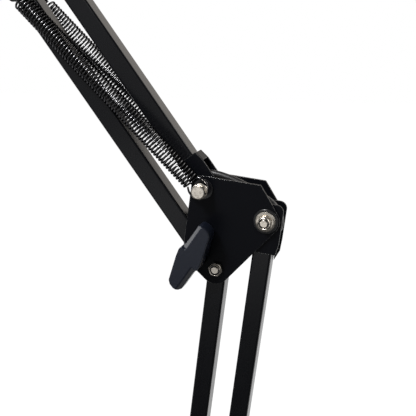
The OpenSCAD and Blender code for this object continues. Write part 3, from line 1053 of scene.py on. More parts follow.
def thread_mesh(
    name: str, finish: Finish, length: float, rows_a_turn: int = 8, **sizes: float
) -> bpy.types.Mesh:
    """A screw thread up the Z axis.

    Args:
        name: Name of the result.
        finish: The finish.
        length: The length that its rows are counted from.
        rows_a_turn: Rows of points in one turn of it.
        sizes: The recipe's other inputs.

    Returns:
        The mesh.
    """
    rows = int(length / sizes["Pitch"] * rows_a_turn) + 4
    return THREAD.mesh(name, bpy.data.meshes.new("none"), finish, FINE_SHARP, Rows=rows, **sizes)


def placed_mesh(
    name: str, piece: bpy.types.Mesh, places: Sequence[Matrix], finish: Finish
) -> bpy.types.Mesh:
    """Copies of a piece at places, as one mesh.

    Args:
        name: Name of the result.
        piece: The mesh to repeat.
        places: Where the copies go.
        finish: The finish.

    Returns:
        The mesh.
    """
    carrier = bpy.data.meshes.new("places")
    carrier.from_pydata([tuple(p.to_translation()) for p in places], [], [])
    facing = carrier.attributes.new("facing", "FLOAT_VECTOR", "POINT")
    turns = [angle for p in places for angle in p.to_euler("XYZ")]
    facing.data.foreach_set("vector", turns)
    model = linked("model", piece)
    made = REPEAT.mesh(name, carrier, finish, SHARP, Piece=model)
    bpy.data.objects.remove(model)
    return made


def joined(name: str, meshes: Sequence[bpy.types.Mesh], sharp: float = SHARP) -> bpy.types.Mesh:
    """Several meshes as one.

    Args:
        name: Name of the result.
        meshes: The meshes, in place.
        sharp: Angle above which an edge stays sharp, in degrees.

    Returns:
        The mesh.
    """
    body = bmesh.new()
    for mesh in meshes:
        body.from_mesh(mesh)
    made = bpy.data.meshes.new(name)
    body.to_mesh(made)
    body.free()
    smooth(made, sharp)
    return made


def moved(mesh: bpy.types.Mesh, place: Matrix) -> bpy.types.Mesh:
    """The same mesh at a place."""
    mesh.transform(place)
    return mesh


# Fasteners


@dataclass
class Hardware:
    """Metric bolts and nuts with their real chamfers and threads.

    Attributes:
        flats: Width across the flats.
        corner: Rounding of the six corners.
        crown: Share of that width that the chamfer's circle has.
        ease: Rounding under a head.
        head: Height of a head.
        nut: Height of a nut with its collar.
        hexagon: Height of the nut's six-sided part.
        collar: Radius of the nut's round collar.
        insert: Radius of the nylon insert inside the collar.
        bolt: Radius of the bolts.
        play: Room between a bolt and a washer.
        pitch: Pitch of the thread.
        groove: Depth of the thread.
        lead_in: Chamfer at the thread's ends.
        threaded: Length of the thread.
        past: Length of a bolt beyond its nut.
        hook_past: The same on a bolt that carries springs.
        washer: Radius of the washers on such a bolt.
        washer_t: Their thickness.
        cup: Slope of a washer's face, in degrees.
        nut_turn: Turn of a nut against its bolt's head, in degrees.
        sides: Points round a hexagon.
    """

    flats: float = 8 * MM
    corner: float = 0.35 * MM
    crown: float = 0.955
    ease: float = 0.12 * MM
    head: float = 3.5 * MM
    nut: float = 4 * MM
    hexagon: float = 2.9 * MM
    collar: float = 3.75 * MM
    insert: float = 3.1 * MM
    bolt: float = 2.45 * MM
    play: float = 0.2 * MM
    pitch: float = 0.8 * MM
    groove: float = 0.42 * MM
    lead_in: float = 0.45 * MM
    threaded: float = 6.5 * MM
    past: float = 0.3 * MM
    hook_past: float = 0.8 * MM
    washer: float = 5 * MM
    washer_t: float = 1 * MM
    cup: float = 7.0
    nut_turn: float = 9.0
    sides: int = 96

    @property
    def bore(self) -> float:
        """Radius of a washer's hole."""
        return self.bolt + self.play

    def hexagon_radii(self) -> np.ndarray:
        """Distance of a rounded hexagon's outline from its centre, all round.

        Returns:
            One radius for each point.
        """
        half = self.flats / 2
        off = np.abs((around(self.sides) + math.pi / 6) % (math.pi / 3) - math.pi / 6)
        swing = math.pi / 6 - off
        centre = (half - self.corner) / math.cos(math.pi / 6)
        reach = np.sqrt(np.maximum(self.corner**2 - (centre * np.sin(swing)) ** 2, 0))
        tangent = math.atan2(self.corner / 2, centre + self.corner * math.cos(math.pi / 6))
        return np.where(swing < tangent, centre * np.cos(swing) + reach, half / np.cos(off))

    def hexagon_loops(self, height: float, two_sided: bool) -> list[np.ndarray]:
        """Loops up the outside of a chamfered hexagon.

        Args:
            height: Its height.
            two_sided: Chamfers the lower end too.

        Returns:
            The loops, from the bearing face up.
        """
        radii = self.hexagon_radii()
        circle = self.crown * self.flats / 2
        drop = np.maximum(radii - circle, 0) * math.tan(math.radians(30))
        low = [ring(circle, 0, self.sides), ring(radii, drop, self.sides)]
        if not two_sided:
            low = [ring(radii - self.ease, 0, self.sides), ring(radii, self.ease, self.sides)]
        high = [ring(radii, height - drop, self.sides), ring(circle, height, self.sides)]
        return low + high

    def head_mesh(self, height: float) -> bpy.types.Mesh:
        """A bolt's head, bearing face at nought, with a barely sunken top.

        Args:
            height: Its height.

        Returns:
            The mesh.
        """
        shape = Shape()
        dish = [(0.86, 0.0), (0.5, -0.03 * MM), (0.2, -0.04 * MM)]
        top = [ring(k * self.flats / 2, height + drop, self.sides) for k, drop in dish]
        shape.loft(self.hexagon_loops(height, False) + top)
        return shape.mesh("bolt_head")

    def nut_mesh(self) -> bpy.types.Mesh:
        """A self-locking nut: hexagon, round collar rolled in over its insert.

        Returns:
            The mesh.
        """
        hole = self.bolt + 0.05 * MM
        rolled = [
            (self.collar, self.hexagon),
            (self.collar, self.nut - 0.55 * MM),
            (self.collar - 0.16 * MM, self.nut - 0.16 * MM),
            (self.collar - 0.42 * MM, self.nut),
            (self.insert, self.nut - 0.12 * MM),
            (self.insert, self.hexagon),
            (hole, self.hexagon - 0.3 * MM),
            (hole, 0.35 * MM),
            (self.bolt + 0.35 * MM, 0.0),
        ]
        loops = self.hexagon_loops(self.hexagon, True)
        loops += [ring(radius, height, self.sides) for radius, height in rolled]
        shape = Shape()
        shape.loft(loops, closed=True)
        return shape.mesh("lock_nut")

    def insert_mesh(self) -> bpy.types.Mesh:
        """The nut's nylon insert, its face a little below the rolled lip.

        Returns:
            The mesh.
        """
        high, low = self.nut - 0.42 * MM, self.hexagon
        inner, outer = self.bolt - 0.1 * MM, self.insert - 0.02 * MM
        edge = 0.12 * MM
        profile = [
            (outer, low), (outer, high - edge), (self.insert - edge, high),
            (inner + edge, high), (inner, high - edge), (inner, low),
        ]
        return lathe(profile, 48, closed=True).mesh("nut_insert")

    def washer_mesh(self, radius: float, thickness: float) -> bpy.types.Mesh:
        """A pressed washer, slightly cupped, rounded on its upper edge.

        Args:
            radius: Its radius.
            thickness: Its thickness at the hole.

        Returns:
            The mesh.
        """
        soft, bore = 0.3 * MM, self.bore
        rim = thickness - (radius - bore) * math.tan(math.radians(self.cup))
        profile = [
            (bore, 0.0), (radius - soft / 2, 0.0), (radius, soft / 2), (radius, rim - soft),
            (radius - soft * 0.3, rim - soft * 0.3), (radius - soft, rim),
            (bore + soft, thickness), (bore, thickness - soft / 2),
        ]
        return lathe(profile, 72, closed=True).mesh("washer")

    def shank_mesh(self, length: float, finish: Finish) -> bpy.types.Mesh:
        """A plain shank from nought that ends in a thread.

        Args:
            length: Whole length.
            finish: The finish.

        Returns:
            The mesh, up the Z axis.
        """
        plain = length - self.threaded
        step, lap = 0.2 * MM, 0.1 * MM
        waist = [(self.bolt, 0.0), (self.bolt, plain - step), (self.bolt - step, plain)]
        thread = thread_mesh(
            "thread", finish, self.threaded, Radius=self.bolt, Depth=self.groove,
            Pitch=self.pitch, Length=self.threaded + lap, Chamfer=self.lead_in, Sides=33,
        )
        moved(thread, Matrix.Translation((0, 0, plain - lap)))
        return joined("shank", [lathe(waist, 32).mesh("waist"), thread], FINE_SHARP)


HARDWARE = Hardware()


def build_hook_washers(at: Vector, face: float) -> list[bpy.types.Mesh]:
    """Washers under the head and the nut of a bolt that carries springs.

    Args:
        at: The bolt's place.
        face: Distance of their outer faces from the middle plane.

    Returns:
        Their meshes, in place.
    """
    radius, thickness = HARDWARE.washer, HARDWARE.washer_t
    return [
        moved(HARDWARE.washer_mesh(radius, thickness), along_y(at.x, y, at.z, y < 0))
        for y in (-face + thickness, face - thickness)
    ]


@dataclass
class Place:
    """A fastener's place along Y.

    Attributes:
        x: Across.
        z: Height.
        turn: Turn of its hexagon, in degrees.
        head_y: Plane under its head.
        tip_y: Where its far end stands.
        nut_y: Plane under its nut, or None.
    """

    x: float
    z: float
    turn: float
    head_y: float
    tip_y: float
    nut_y: float | None = None


@dataclass
class FastenerSet:
    """Bolts and nuts of one body, made as two pieces and their inserts.

    Attributes:
        bolts_node: Solid that the bolts stand for.
        nuts_node: Solid that the nuts stand for, or None where the bolts' solid holds them.
        places: Where they go.
        washers: Washers in place, which belong to the nuts' solid.
        head: Height of the heads.
    """

    bolts_node: str
    nuts_node: str | None
    places: list[Place]
    washers: list[bpy.types.Mesh] = field(default_factory=list)
    head: float = HARDWARE.head

    def build(self) -> None:
        """Makes bolts, nuts and inserts."""
        body = frame["nodes"][self.bolts_node]["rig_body"]
        heads, shanks, nuts = [], [], []
        for p in self.places:
            front = p.tip_y < p.head_y
            heads.append(along_y(p.x, p.head_y, p.z, not front, p.turn))
            shank = HARDWARE.shank_mesh(abs(p.tip_y - p.head_y), NICKEL)
            shanks.append(moved(shank, along_y(p.x, p.head_y, p.z, front)))
            if p.nut_y is not None:
                nuts.append(along_y(p.x, p.nut_y, p.z, front, p.turn + HARDWARE.nut_turn))
        name = self.bolts_node
        head = HARDWARE.head_mesh(self.head)
        bolts = joined(name, [placed_mesh("heads", head, heads, NICKEL), *shanks])
        dressed(bolts, f"{name}.threaded", NICKEL, body, [name])
        if not nuts:
            return
        nut = placed_mesh("nuts", HARDWARE.nut_mesh(), nuts, NICKEL)
        if self.washers:
            nut = joined("nuts_and_washers", [nut, *self.washers])
        stands_for = [self.nuts_node] if self.nuts_node else []
        dressed(nut, f"{self.nuts_node or name + '_nuts'}.locking", NICKEL, body, stands_for)
        insert = placed_mesh("inserts", HARDWARE.insert_mesh(), nuts, PLASTIC)
        dressed(insert, f"{name}.nut_inserts", PLASTIC, body)


# The lamp's sub-assemblies


def pivot(joint: str) -> Vector:
    """A joint's place at rest."""
    return Vector(next(j["pos_m"] for j in frame["joints"] if j["name"] == joint))


def from_pivot(place: Vector, x: float, z: float) -> Pair:
    """A point across and up from a pivot, both in millimetres."""
    return place.x + x * MM, place.z + z * MM


@dataclass
class Skeleton:
    """Pivots of the arm at rest, and its layers along Y.

    Attributes:
        plate: Outer face of the plates, from the middle plane.
        hook_face: Outer face of the washers on the bolts that carry the springs.
        foot: Pivot at the lower main bar's foot.
        foot_tie: Pivot at the lower tie bar's foot, whose bolt carries the lower springs.
        lower_top: Pivot between the lower main bar and the elbow.
        tension: Pivot at the upper main bar's foot, with the wing knob.
        hook: Pivot at the upper tie bar's foot, whose bolt carries the upper springs.
        head: Pivot between the upper main bar and the head bracket.
        tilt: Pivot of the light bar.
    """

    plate: float = 7.7 * MM
    hook_face: float = 15.6 * MM
    foot: Vector = field(default_factory=lambda: pivot("lower_arm"))
    foot_tie: Vector = field(default_factory=lambda: pivot("lower_tie_pivot"))
    lower_top: Vector = field(default_factory=lambda: pivot("elbow_level"))
    tension: Vector = field(default_factory=lambda: pivot("upper_arm"))
    hook: Vector = field(default_factory=lambda: pivot("upper_tie_pivot"))
    head: Vector = field(default_factory=lambda: pivot("head_level"))
    tilt: Vector = field(default_factory=lambda: pivot("head_tilt"))

    @property
    def lower_tie_top(self) -> Vector:
        """The open pivot between lower tie and elbow."""
        return self.lower_top + self.foot_tie - self.foot

    @property
    def head_tie(self) -> Vector:
        """The open pivot between upper tie and head bracket."""
        return self.head + self.hook - self.tension

    @property
    def lower_way(self) -> Vector:
        """Direction up the lower arm."""
        return (self.lower_top - self.foot).normalized()

    @property
    def upper_way(self) -> Vector:
        """Direction up the upper arm."""
        return (self.head - self.tension).normalized()


SKELETON = Skeleton()


@dataclass
class Spring:
    """One balance spring: ring that hangs on the bolt, open curls, hook round the pin.

    Attributes:
        node: The solid that it stands for.
        low: Bolt that its ring hangs on.
        high: Pin that its upper hook goes round.
        bodies: Bodies of the bolt and of the pin; not used.
        side: -1 in front, 1 behind.
        lead_out: Room between the last curl and the pin.
        wire: Radius of the wire.
        outside: Outside diameter of the curls.
        pitch: Rise of one curl.
        axis_y: Distance of the curls' axis from the middle plane, at the bolt.
        ring_y: Distance of the ring from the middle plane.
        hook_y: Distance of the upper hook from the middle plane.
        ring: Radius of the ring.
        ring_turn: Where the ring starts and ends, in degrees.
        sleeve: Radius of the sleeve that the ring hangs on.
        hook: Radius of the upper hook.
        hook_turn: Where the upper hook starts and ends, in degrees.
        first_curl: Distance of the first curl from the bolt.
        first_turn: Where the first curl starts, in degrees.
        steps: Points in one curl.
        sides: Points round the wire.
    """

    node: str
    low: Vector
    high: Vector
    bodies: tuple[str, str]
    side: int
    lead_out: float
    wire: float = 0.66 * MM
    outside: float = 11.8 * MM
    pitch: float = 2.2 * MM
    axis_y: float = 14.4 * MM
    ring_y: float = 13.7 * MM
    hook_y: float = 12.6 * MM
    ring: float = 6.3 * MM
    ring_turn: Pair = (-228, 56)
    sleeve: float = 3.2 * MM
    hook: float = 3.1 * MM
    hook_turn: Pair = (-20, 205)
    first_curl: float = 7.6 * MM
    first_turn: float = 38
    steps: int = 18
    sides: int = 10

    def local_path(self, run: float) -> np.ndarray:
        """Middle line of the wire, up the Z axis from the bolt.

        Args:
            run: Distance between bolt and pin.

        Returns:
            Its points.
        """
        radius = self.outside / 2 - self.wire
        plane = self.side * (self.ring_y - self.axis_y)
        play = 0.1 * MM
        hang = self.ring - self.wire - self.sleeve - play
        turn = np.radians(np.linspace(*self.ring_turn, 34))
        level = hang + self.ring * np.sin(turn)
        ring_line = np.column_stack([self.ring * np.cos(turn), np.full(len(turn), plane), level])
        last = run - self.lead_out
        curls = round((last - self.first_curl) / self.pitch)
        first = -self.side * math.radians(self.first_turn)
        turn = first + np.arange(curls * self.steps + 1) * math.tau / self.steps
        level = np.linspace(self.first_curl, last, len(turn))
        curl = np.column_stack([radius * np.cos(turn), radius * np.sin(turn), level])
        bulge = np.array([0.35 * MM, 0, -0.1 * MM])
        middle = (ring_line[-1] + curl[0]) / 2 + bulge
        turn = np.radians(np.linspace(*self.hook_turn, 20))
        level = run + self.hook * np.sin(turn)
        eye = np.column_stack([self.hook * np.cos(turn), np.zeros(len(turn)), level])
        return np.vstack([ring_line, middle, curl, eye])

    def build(self) -> None:
        """Winds the spring between bolt and pin, and leaves it on no body."""
        low = Vector((self.low.x, self.side * self.axis_y, self.low.z))
        high = Vector((self.high.x, self.side * self.hook_y, self.high.z))
        up = (high - low).normalized()
        flat = math.atan2(self.high.x - self.low.x, self.high.z - self.low.z)
        across = Vector((math.cos(flat), 0, -math.sin(flat)))
        axes = np.array([across, up.cross(across), up])
        path = self.local_path((high - low).length) @ axes + np.array(low)
        mesh = tube_mesh(self.node, path, self.wire, self.sides, SPRING_WIRE)
        piece = dressed(mesh, f"{self.node}.wound", SPRING_WIRE, None, [self.node])
        way = self.high - self.low
        tuple(self.low + way * 0.3)
        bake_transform(piece)


def curve_through(points: Sequence[Vector], steps: int = 6) -> np.ndarray:
    """A smooth line through points.

    Args:
        points: Points that it passes.
        steps: Pieces between two of them.

    Returns:
        Points along the line.
    """
    p = np.array([points[0], *points, points[-1]])
    t = np.linspace(0, 1, steps, endpoint=False)[:, None]
    parts = []
    for a, b, c, d in zip(p, p[1:], p[2:], p[3:], strict=False):
        bend = 2 * b + (c - a) * t + (2 * a - 5 * b + 4 * c - d) * t**2
        parts.append((bend + (3 * b - a - 3 * c + d) * t**3) / 2)
    return np.vstack([*parts, p[-1]])


@dataclass
class Lead:
    """A stretch of the lead inside the lamp.

    Attributes:
        node: The solid that it stands for.
        origin: Where the route is measured from.
        route: Points of its middle line, in millimetres across and up.
        bodies: One body that carries it, or two, in which case it is left on no body.
        radius: Radius of the jacket.
        sides: Points round it.
    """

    node: str
    origin: Vector
    route: Sequence[Pair]
    bodies: tuple[str, ...]
    radius: float = 2.2 * MM
    sides: int = 20

    def build(self) -> None:
        """Runs the lead along its route."""
        points = [self.origin + Vector((x, 0, z)) * MM for x, z in self.route]
        mesh = tube_mesh(self.node, curve_through(points), self.radius, self.sides, JACKET)
        single = self.bodies[0] if len(self.bodies) == 1 else None
        piece = dressed(mesh, f"{self.node}.laid", JACKET, single, [self.node])
        if single is None:
            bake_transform(piece)


@dataclass
class Arm:
    """One arm: main bar, tie bar with clevises and lead, spring pin and two springs.

    Attributes:
        name: lower or upper.
        bottom: Pivot at the main bar's lower end.
        tie: Pivot at the tie bar's lower end, whose bolt carries the springs.
        way: Direction up the arm.
        anchor: Distance of the spring pin up the main bar.
        carrier: Body of that bolt.
        length: Distance between the pivots.
        lead_start: Distance of the lead's ends from the tie bar's pivots.
        rooms: Room between a spring's last curl and the pin, in front and behind.
        pin: Radius of the spring pin.
        collar: Radius of its collars.
        groove: Depth of the grooves that the upper hooks sit in.
    """

    name: str
    bottom: Vector
    tie: Vector
    way: Vector
    anchor: float
    carrier: str
    length: float = 360 * MM
    lead_start: float = 15.2 * MM
    rooms: Pair = (4.2 * MM, 7.5 * MM)
    pin: float = 2.4 * MM
    collar: float = 3.6 * MM
    groove: float = 0.35 * MM

    def build(self) -> None:
        """Makes the arm's pieces."""
        softened(f"{self.name}_bar", TUBE_COAT, 0.12 * MM)
        softened(f"{self.name}_tie_bar", TUBE_COAT, 0.12 * MM)
        softened(f"{self.name}_tie_clevises", PLATE_COAT, 0.18 * MM, merge=0.1 * MM)
        self.build_pin()
        high = self.bottom + self.way * self.anchor
        for side, end, room in zip((-1, 1), ("front", "rear"), self.rooms, strict=True):
            node = f"{self.name}_spring_{end}"
            bodies = (self.carrier, f"{self.name}_main")
            Spring(node, self.tie, high, bodies, side, room).build()
        ends = [self.lead_start, self.length - self.lead_start]
        route = [(self.way.x * s / MM, self.way.z * s / MM) for s in ends]
        Lead(f"{self.name}_lead", self.tie, route, (f"{self.name}_tie",)).build()

    def build_pin(self) -> None:
        """Turns the pin that the springs' upper hooks sit on."""
        node = f"{self.name}_spring_pin"
        low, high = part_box(node)
        middle = (low + high) / 2
        reach = high.y
        pin, collar, valley = self.pin, self.collar, self.pin - self.groove
        seat, soft = Spring.hook_y, 0.2 * MM
        half = [
            (pin, 5 * MM),
            (collar - soft, 6.1 * MM), (collar, 6.3 * MM),
            (collar, 7.9 * MM), (collar - soft, 8.1 * MM),
            (pin, 8.1 * MM), (pin, seat - 1.2 * MM),
            (valley, seat - 0.5 * MM), (valley, seat + 0.5 * MM),
            (pin, seat + 1.2 * MM), (pin, reach - 1.6 * MM),
            (collar - soft, reach - 1.6 * MM), (collar, reach - 1.4 * MM),
            (collar, reach - 0.3 * MM), (collar - 0.3 * MM, reach),
        ]
        profile = [(r, -h) for r, h in reversed(half)] + half
        shape = lathe(profile, 40, along_y(middle.x, 0, middle.z, False))
        body = f"{self.name}_main"
        dressed(shape.mesh(node), f"{node}.turned", DARK_STEEL, body, [node])


def build_bracket(name: str) -> None:
    """Makes a bracket's two plates and the sleeves between them.

    Args:
        name: The bracket's name in the solids.
    """
    for side in ("front", "rear"):
        softened(f"{name}_{side}_plate", PLATE_COAT, 0.2 * MM)
    softened(f"{name}_sleeves", BRASS, 0.15 * MM)


@dataclass
class Elbow:
    """Two plates with their bolts, nuts, sleeves, lead and wing knob.

    Attributes:
        bones: The arm's pivots.
        washer: Radius of the large washer.
        washer_t: Its thickness.
        flange: Radius of the black flange ring beneath it.
        flange_t: The ring's thickness.
        flange_soft: Rounding of the ring's edge.
        low_past: Length of the bolt beyond its nut at the lower main bar.
        right_past: The same at the lower tie bar.
        hook_head: Height of the head of the bolt that carries the springs.
        tension_tip: Where the wing knob's bolt ends, from the middle plane.
        lead_route: Middle of the lead from the tension pivot, in millimetres.
    """

    bones: Skeleton
    washer: float = 6.2 * MM
    washer_t: float = 1.2 * MM
    flange: float = 7.7 * MM
    flange_t: float = 1.0 * MM
    flange_soft: float = 0.62 * MM
    low_past: float = 0.25 * MM
    right_past: float = 0.35 * MM
    hook_head: float = 4 * MM
    tension_tip: float = -21 * MM
    lead_route: tuple[Pair, ...] = (
        (-4.79, 52.01), (-2.6, 49.6), (1, 48.5), (5, 48.5), (10, 48.1), (15, 47), (21, 45.1),
        (28, 42.3), (35, 38.8), (41, 35.1), (46.4, 30.8), (49.8, 26), (50.9, 20.8), (49.8, 16.2),
        (46.8, 13), (43.6, 11), (42, 9.4), (41.62, 7.81),
    )

    def build(self) -> None:
        """Makes the elbow's pieces."""
        b = self.bones
        build_bracket("elbow")
        softened("hook_sleeves", DARK_STEEL, 0.2 * MM)
        softened("wing_knob", KNOB_PLASTIC, 0.7 * MM, 3)
        self.build_washers()
        nut = HARDWARE.nut
        right = b.lower_tie_top
        low_nut, right_nut = -b.plate, -b.plate - self.flange_t - self.washer_t
        low_tip, right_tip = low_nut - nut - self.low_past, right_nut - nut - self.right_past
        FastenerSet("elbow_bolts", "elbow_nuts", [
            Place(b.lower_top.x, b.lower_top.z, 10, b.plate, low_tip, low_nut),
            Place(right.x, right.z, 40, b.plate, right_tip, right_nut),
        ]).build()
        self.build_hook_bolt("hook_bolt", b.hook, 17)
        FastenerSet("tension_bolt", None, [
            Place(b.tension.x, b.tension.z, 5, b.plate, self.tension_tip),
        ]).build()
        Lead("elbow_lead", b.tension, self.lead_route, ("elbow",)).build()

    def build_washers(self) -> None:
        """Presses the washers, and moulds the flange ring under the large one."""
        at, b = self.bones.lower_tie_top, self.bones
        large = HARDWARE.washer_mesh(self.washer, self.washer_t)
        moved(large, along_y(at.x, -b.plate - self.flange_t, at.z, True))
        washers = joined("washers", [large, *build_hook_washers(b.hook, b.hook_face)])
        dressed(washers, "elbow_washers.pressed", NICKEL, "elbow", ["elbow_washers"])
        bore, soft = HARDWARE.bore, self.flange_soft
        rim, high = self.flange - soft, self.flange_t - soft
        turns = [math.radians(angle) for angle in range(0, 91, 15)]
        profile = [(bore, 0.0), (self.flange, 0.0)]
        profile += [(rim + soft * math.cos(t), high + soft * math.sin(t)) for t in turns]
        profile.append((bore, self.flange_t))
        shape = lathe(profile, 96, along_y(at.x, -b.plate, at.z, True), closed=True)
        mesh = shape.mesh("elbow_flange", ROUND_SHARP)
        dressed(mesh, "elbow_flange.moulded", PLASTIC, "elbow", ["elbow_flange"])

    def build_hook_bolt(self, node: str, at: Vector, turn: float) -> None:
        """Makes the bolt that carries the springs, its head in front and its nut behind.

        Args:
            node: The solid that it stands for.
            at: Its place.
            turn: Turn of its hexagon, in degrees.
        """
        end = self.bones.hook_face
        tip = end + HARDWARE.nut + HARDWARE.hook_past
        place = Place(at.x, at.z, turn, -end, tip, end)
        FastenerSet(node, None, [place], head=self.hook_head).build()


@dataclass
class Base:
    """Post, block, plates and power inlet that turn on the clamp.

    Attributes:
        bones: The arm's pivots.
        block_bolts: Bolts through the block, in millimetres from the origin.
        lead_start: Distance of the lead's end in the tie bar from its pivot, in millimetres.
        lead_route: Middle of the lead from there on, in millimetres from the origin.
    """

    bones: Skeleton
    block_bolts: tuple[Pair, ...] = ((-9.5, 40), (9.5, 40), (-9, 53))
    lead_start: float = 14.8
    lead_route: tuple[Pair, ...] = (
        (18.2, 112.8), (21.4, 109.8), (23.2, 105.8), (23.4, 100.4), (22.4, 94), (20, 86),
        (16, 78), (10.8, 71), (5.6, 65.4), (2.5, 61), (2, 57), (2, 52),
    )

    def build(self) -> None:
        """Makes the base's pieces."""
        b = self.bones
        softened("post", NICKEL, 0.4 * MM)
        softened("base_block", PLASTIC, 0.5 * MM, 3)
        build_bracket("base")
        softened("base_hook_sleeves", DARK_STEEL, 0.2 * MM)
        softened("inlet_socket", PLASTIC, 0.25 * MM)
        nut, end = HARDWARE.nut, b.hook_face
        tip = -b.plate - nut - HARDWARE.past
        hook_tip = end + nut + HARDWARE.hook_past
        places = [Place(b.foot.x, b.foot.z, 20, b.plate, tip, -b.plate)]
        places += [Place(x * MM, z * MM, 0, b.plate, tip, -b.plate) for x, z in self.block_bolts]
        places.append(Place(b.foot_tie.x, b.foot_tie.z, 8, -end, hook_tip, end))
        washers = build_hook_washers(b.foot_tie, end)
        FastenerSet("base_bolts", "base_nuts", places, washers).build()
        way = b.lower_way * self.lead_start
        start = (b.foot_tie.x / MM + way.x, b.foot_tie.z / MM + way.z)
        route = [start, *self.lead_route]
        Lead("base_lead", Vector((0, 0, 0)), route, ("turret", "lower_tie")).build()


@dataclass
class Clamp:
    """Desk clamp with its screw, handle and pressure disc.

    Attributes:
        screw: Radius of the screw.
        pitch: Rise of one turn of its thread.
        groove: Depth of the thread.
        lead_in: Chamfer at the thread's ends.
        neck: Radius of the plain tip in the pressure disc's bush.
        neck_t: Height of that tip.
        lap: Length by which the thread runs into the tip.
    """

    screw: float = 5 * MM
    pitch: float = 3 * MM
    groove: float = 1.1 * MM
    lead_in: float = 1.4 * MM
    neck: float = 3.5 * MM
    neck_t: float = 8.4 * MM
    lap: float = 1 * MM

    def build(self) -> None:
        """Makes the clamp's pieces."""
        softened("clamp_frame", CLAMP_COAT, 0.7 * MM, 3)
        softened("jaw_rubber", RUBBER, 0.4 * MM)
        softened("socket_bush", NYLON, 0.12 * MM)
        softened("pressure_disc", CLAMP_COAT, 0.4 * MM)
        softened("disc_rubber", RUBBER, 0.4 * MM)
        softened("clamp_handle", PLASTIC, 1.1 * MM, 3)
        low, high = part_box("clamp_screw")
        middle = (low + high) / 2
        place = Matrix.Translation((middle.x, 0, low.z))
        whole, soft = high.z - low.z, 0.6 * MM
        length = whole - self.neck_t
        thread = thread_mesh(
            "clamp_screw", NICKEL, length, Radius=self.screw, Depth=self.groove,
            Pitch=self.pitch, Length=length + self.lap, Chamfer=self.lead_in, Sides=49,
        )
        moved(thread, place)
        profile = [(self.neck, length), (self.neck, whole - soft), (self.neck - soft, whole)]
        mesh = joined("clamp_screw", [thread, lathe(profile, 40, place).mesh("tip")], FINE_SHARP)
        dressed(mesh, "clamp_screw.threaded", NICKEL, "screw", ["clamp_screw"])


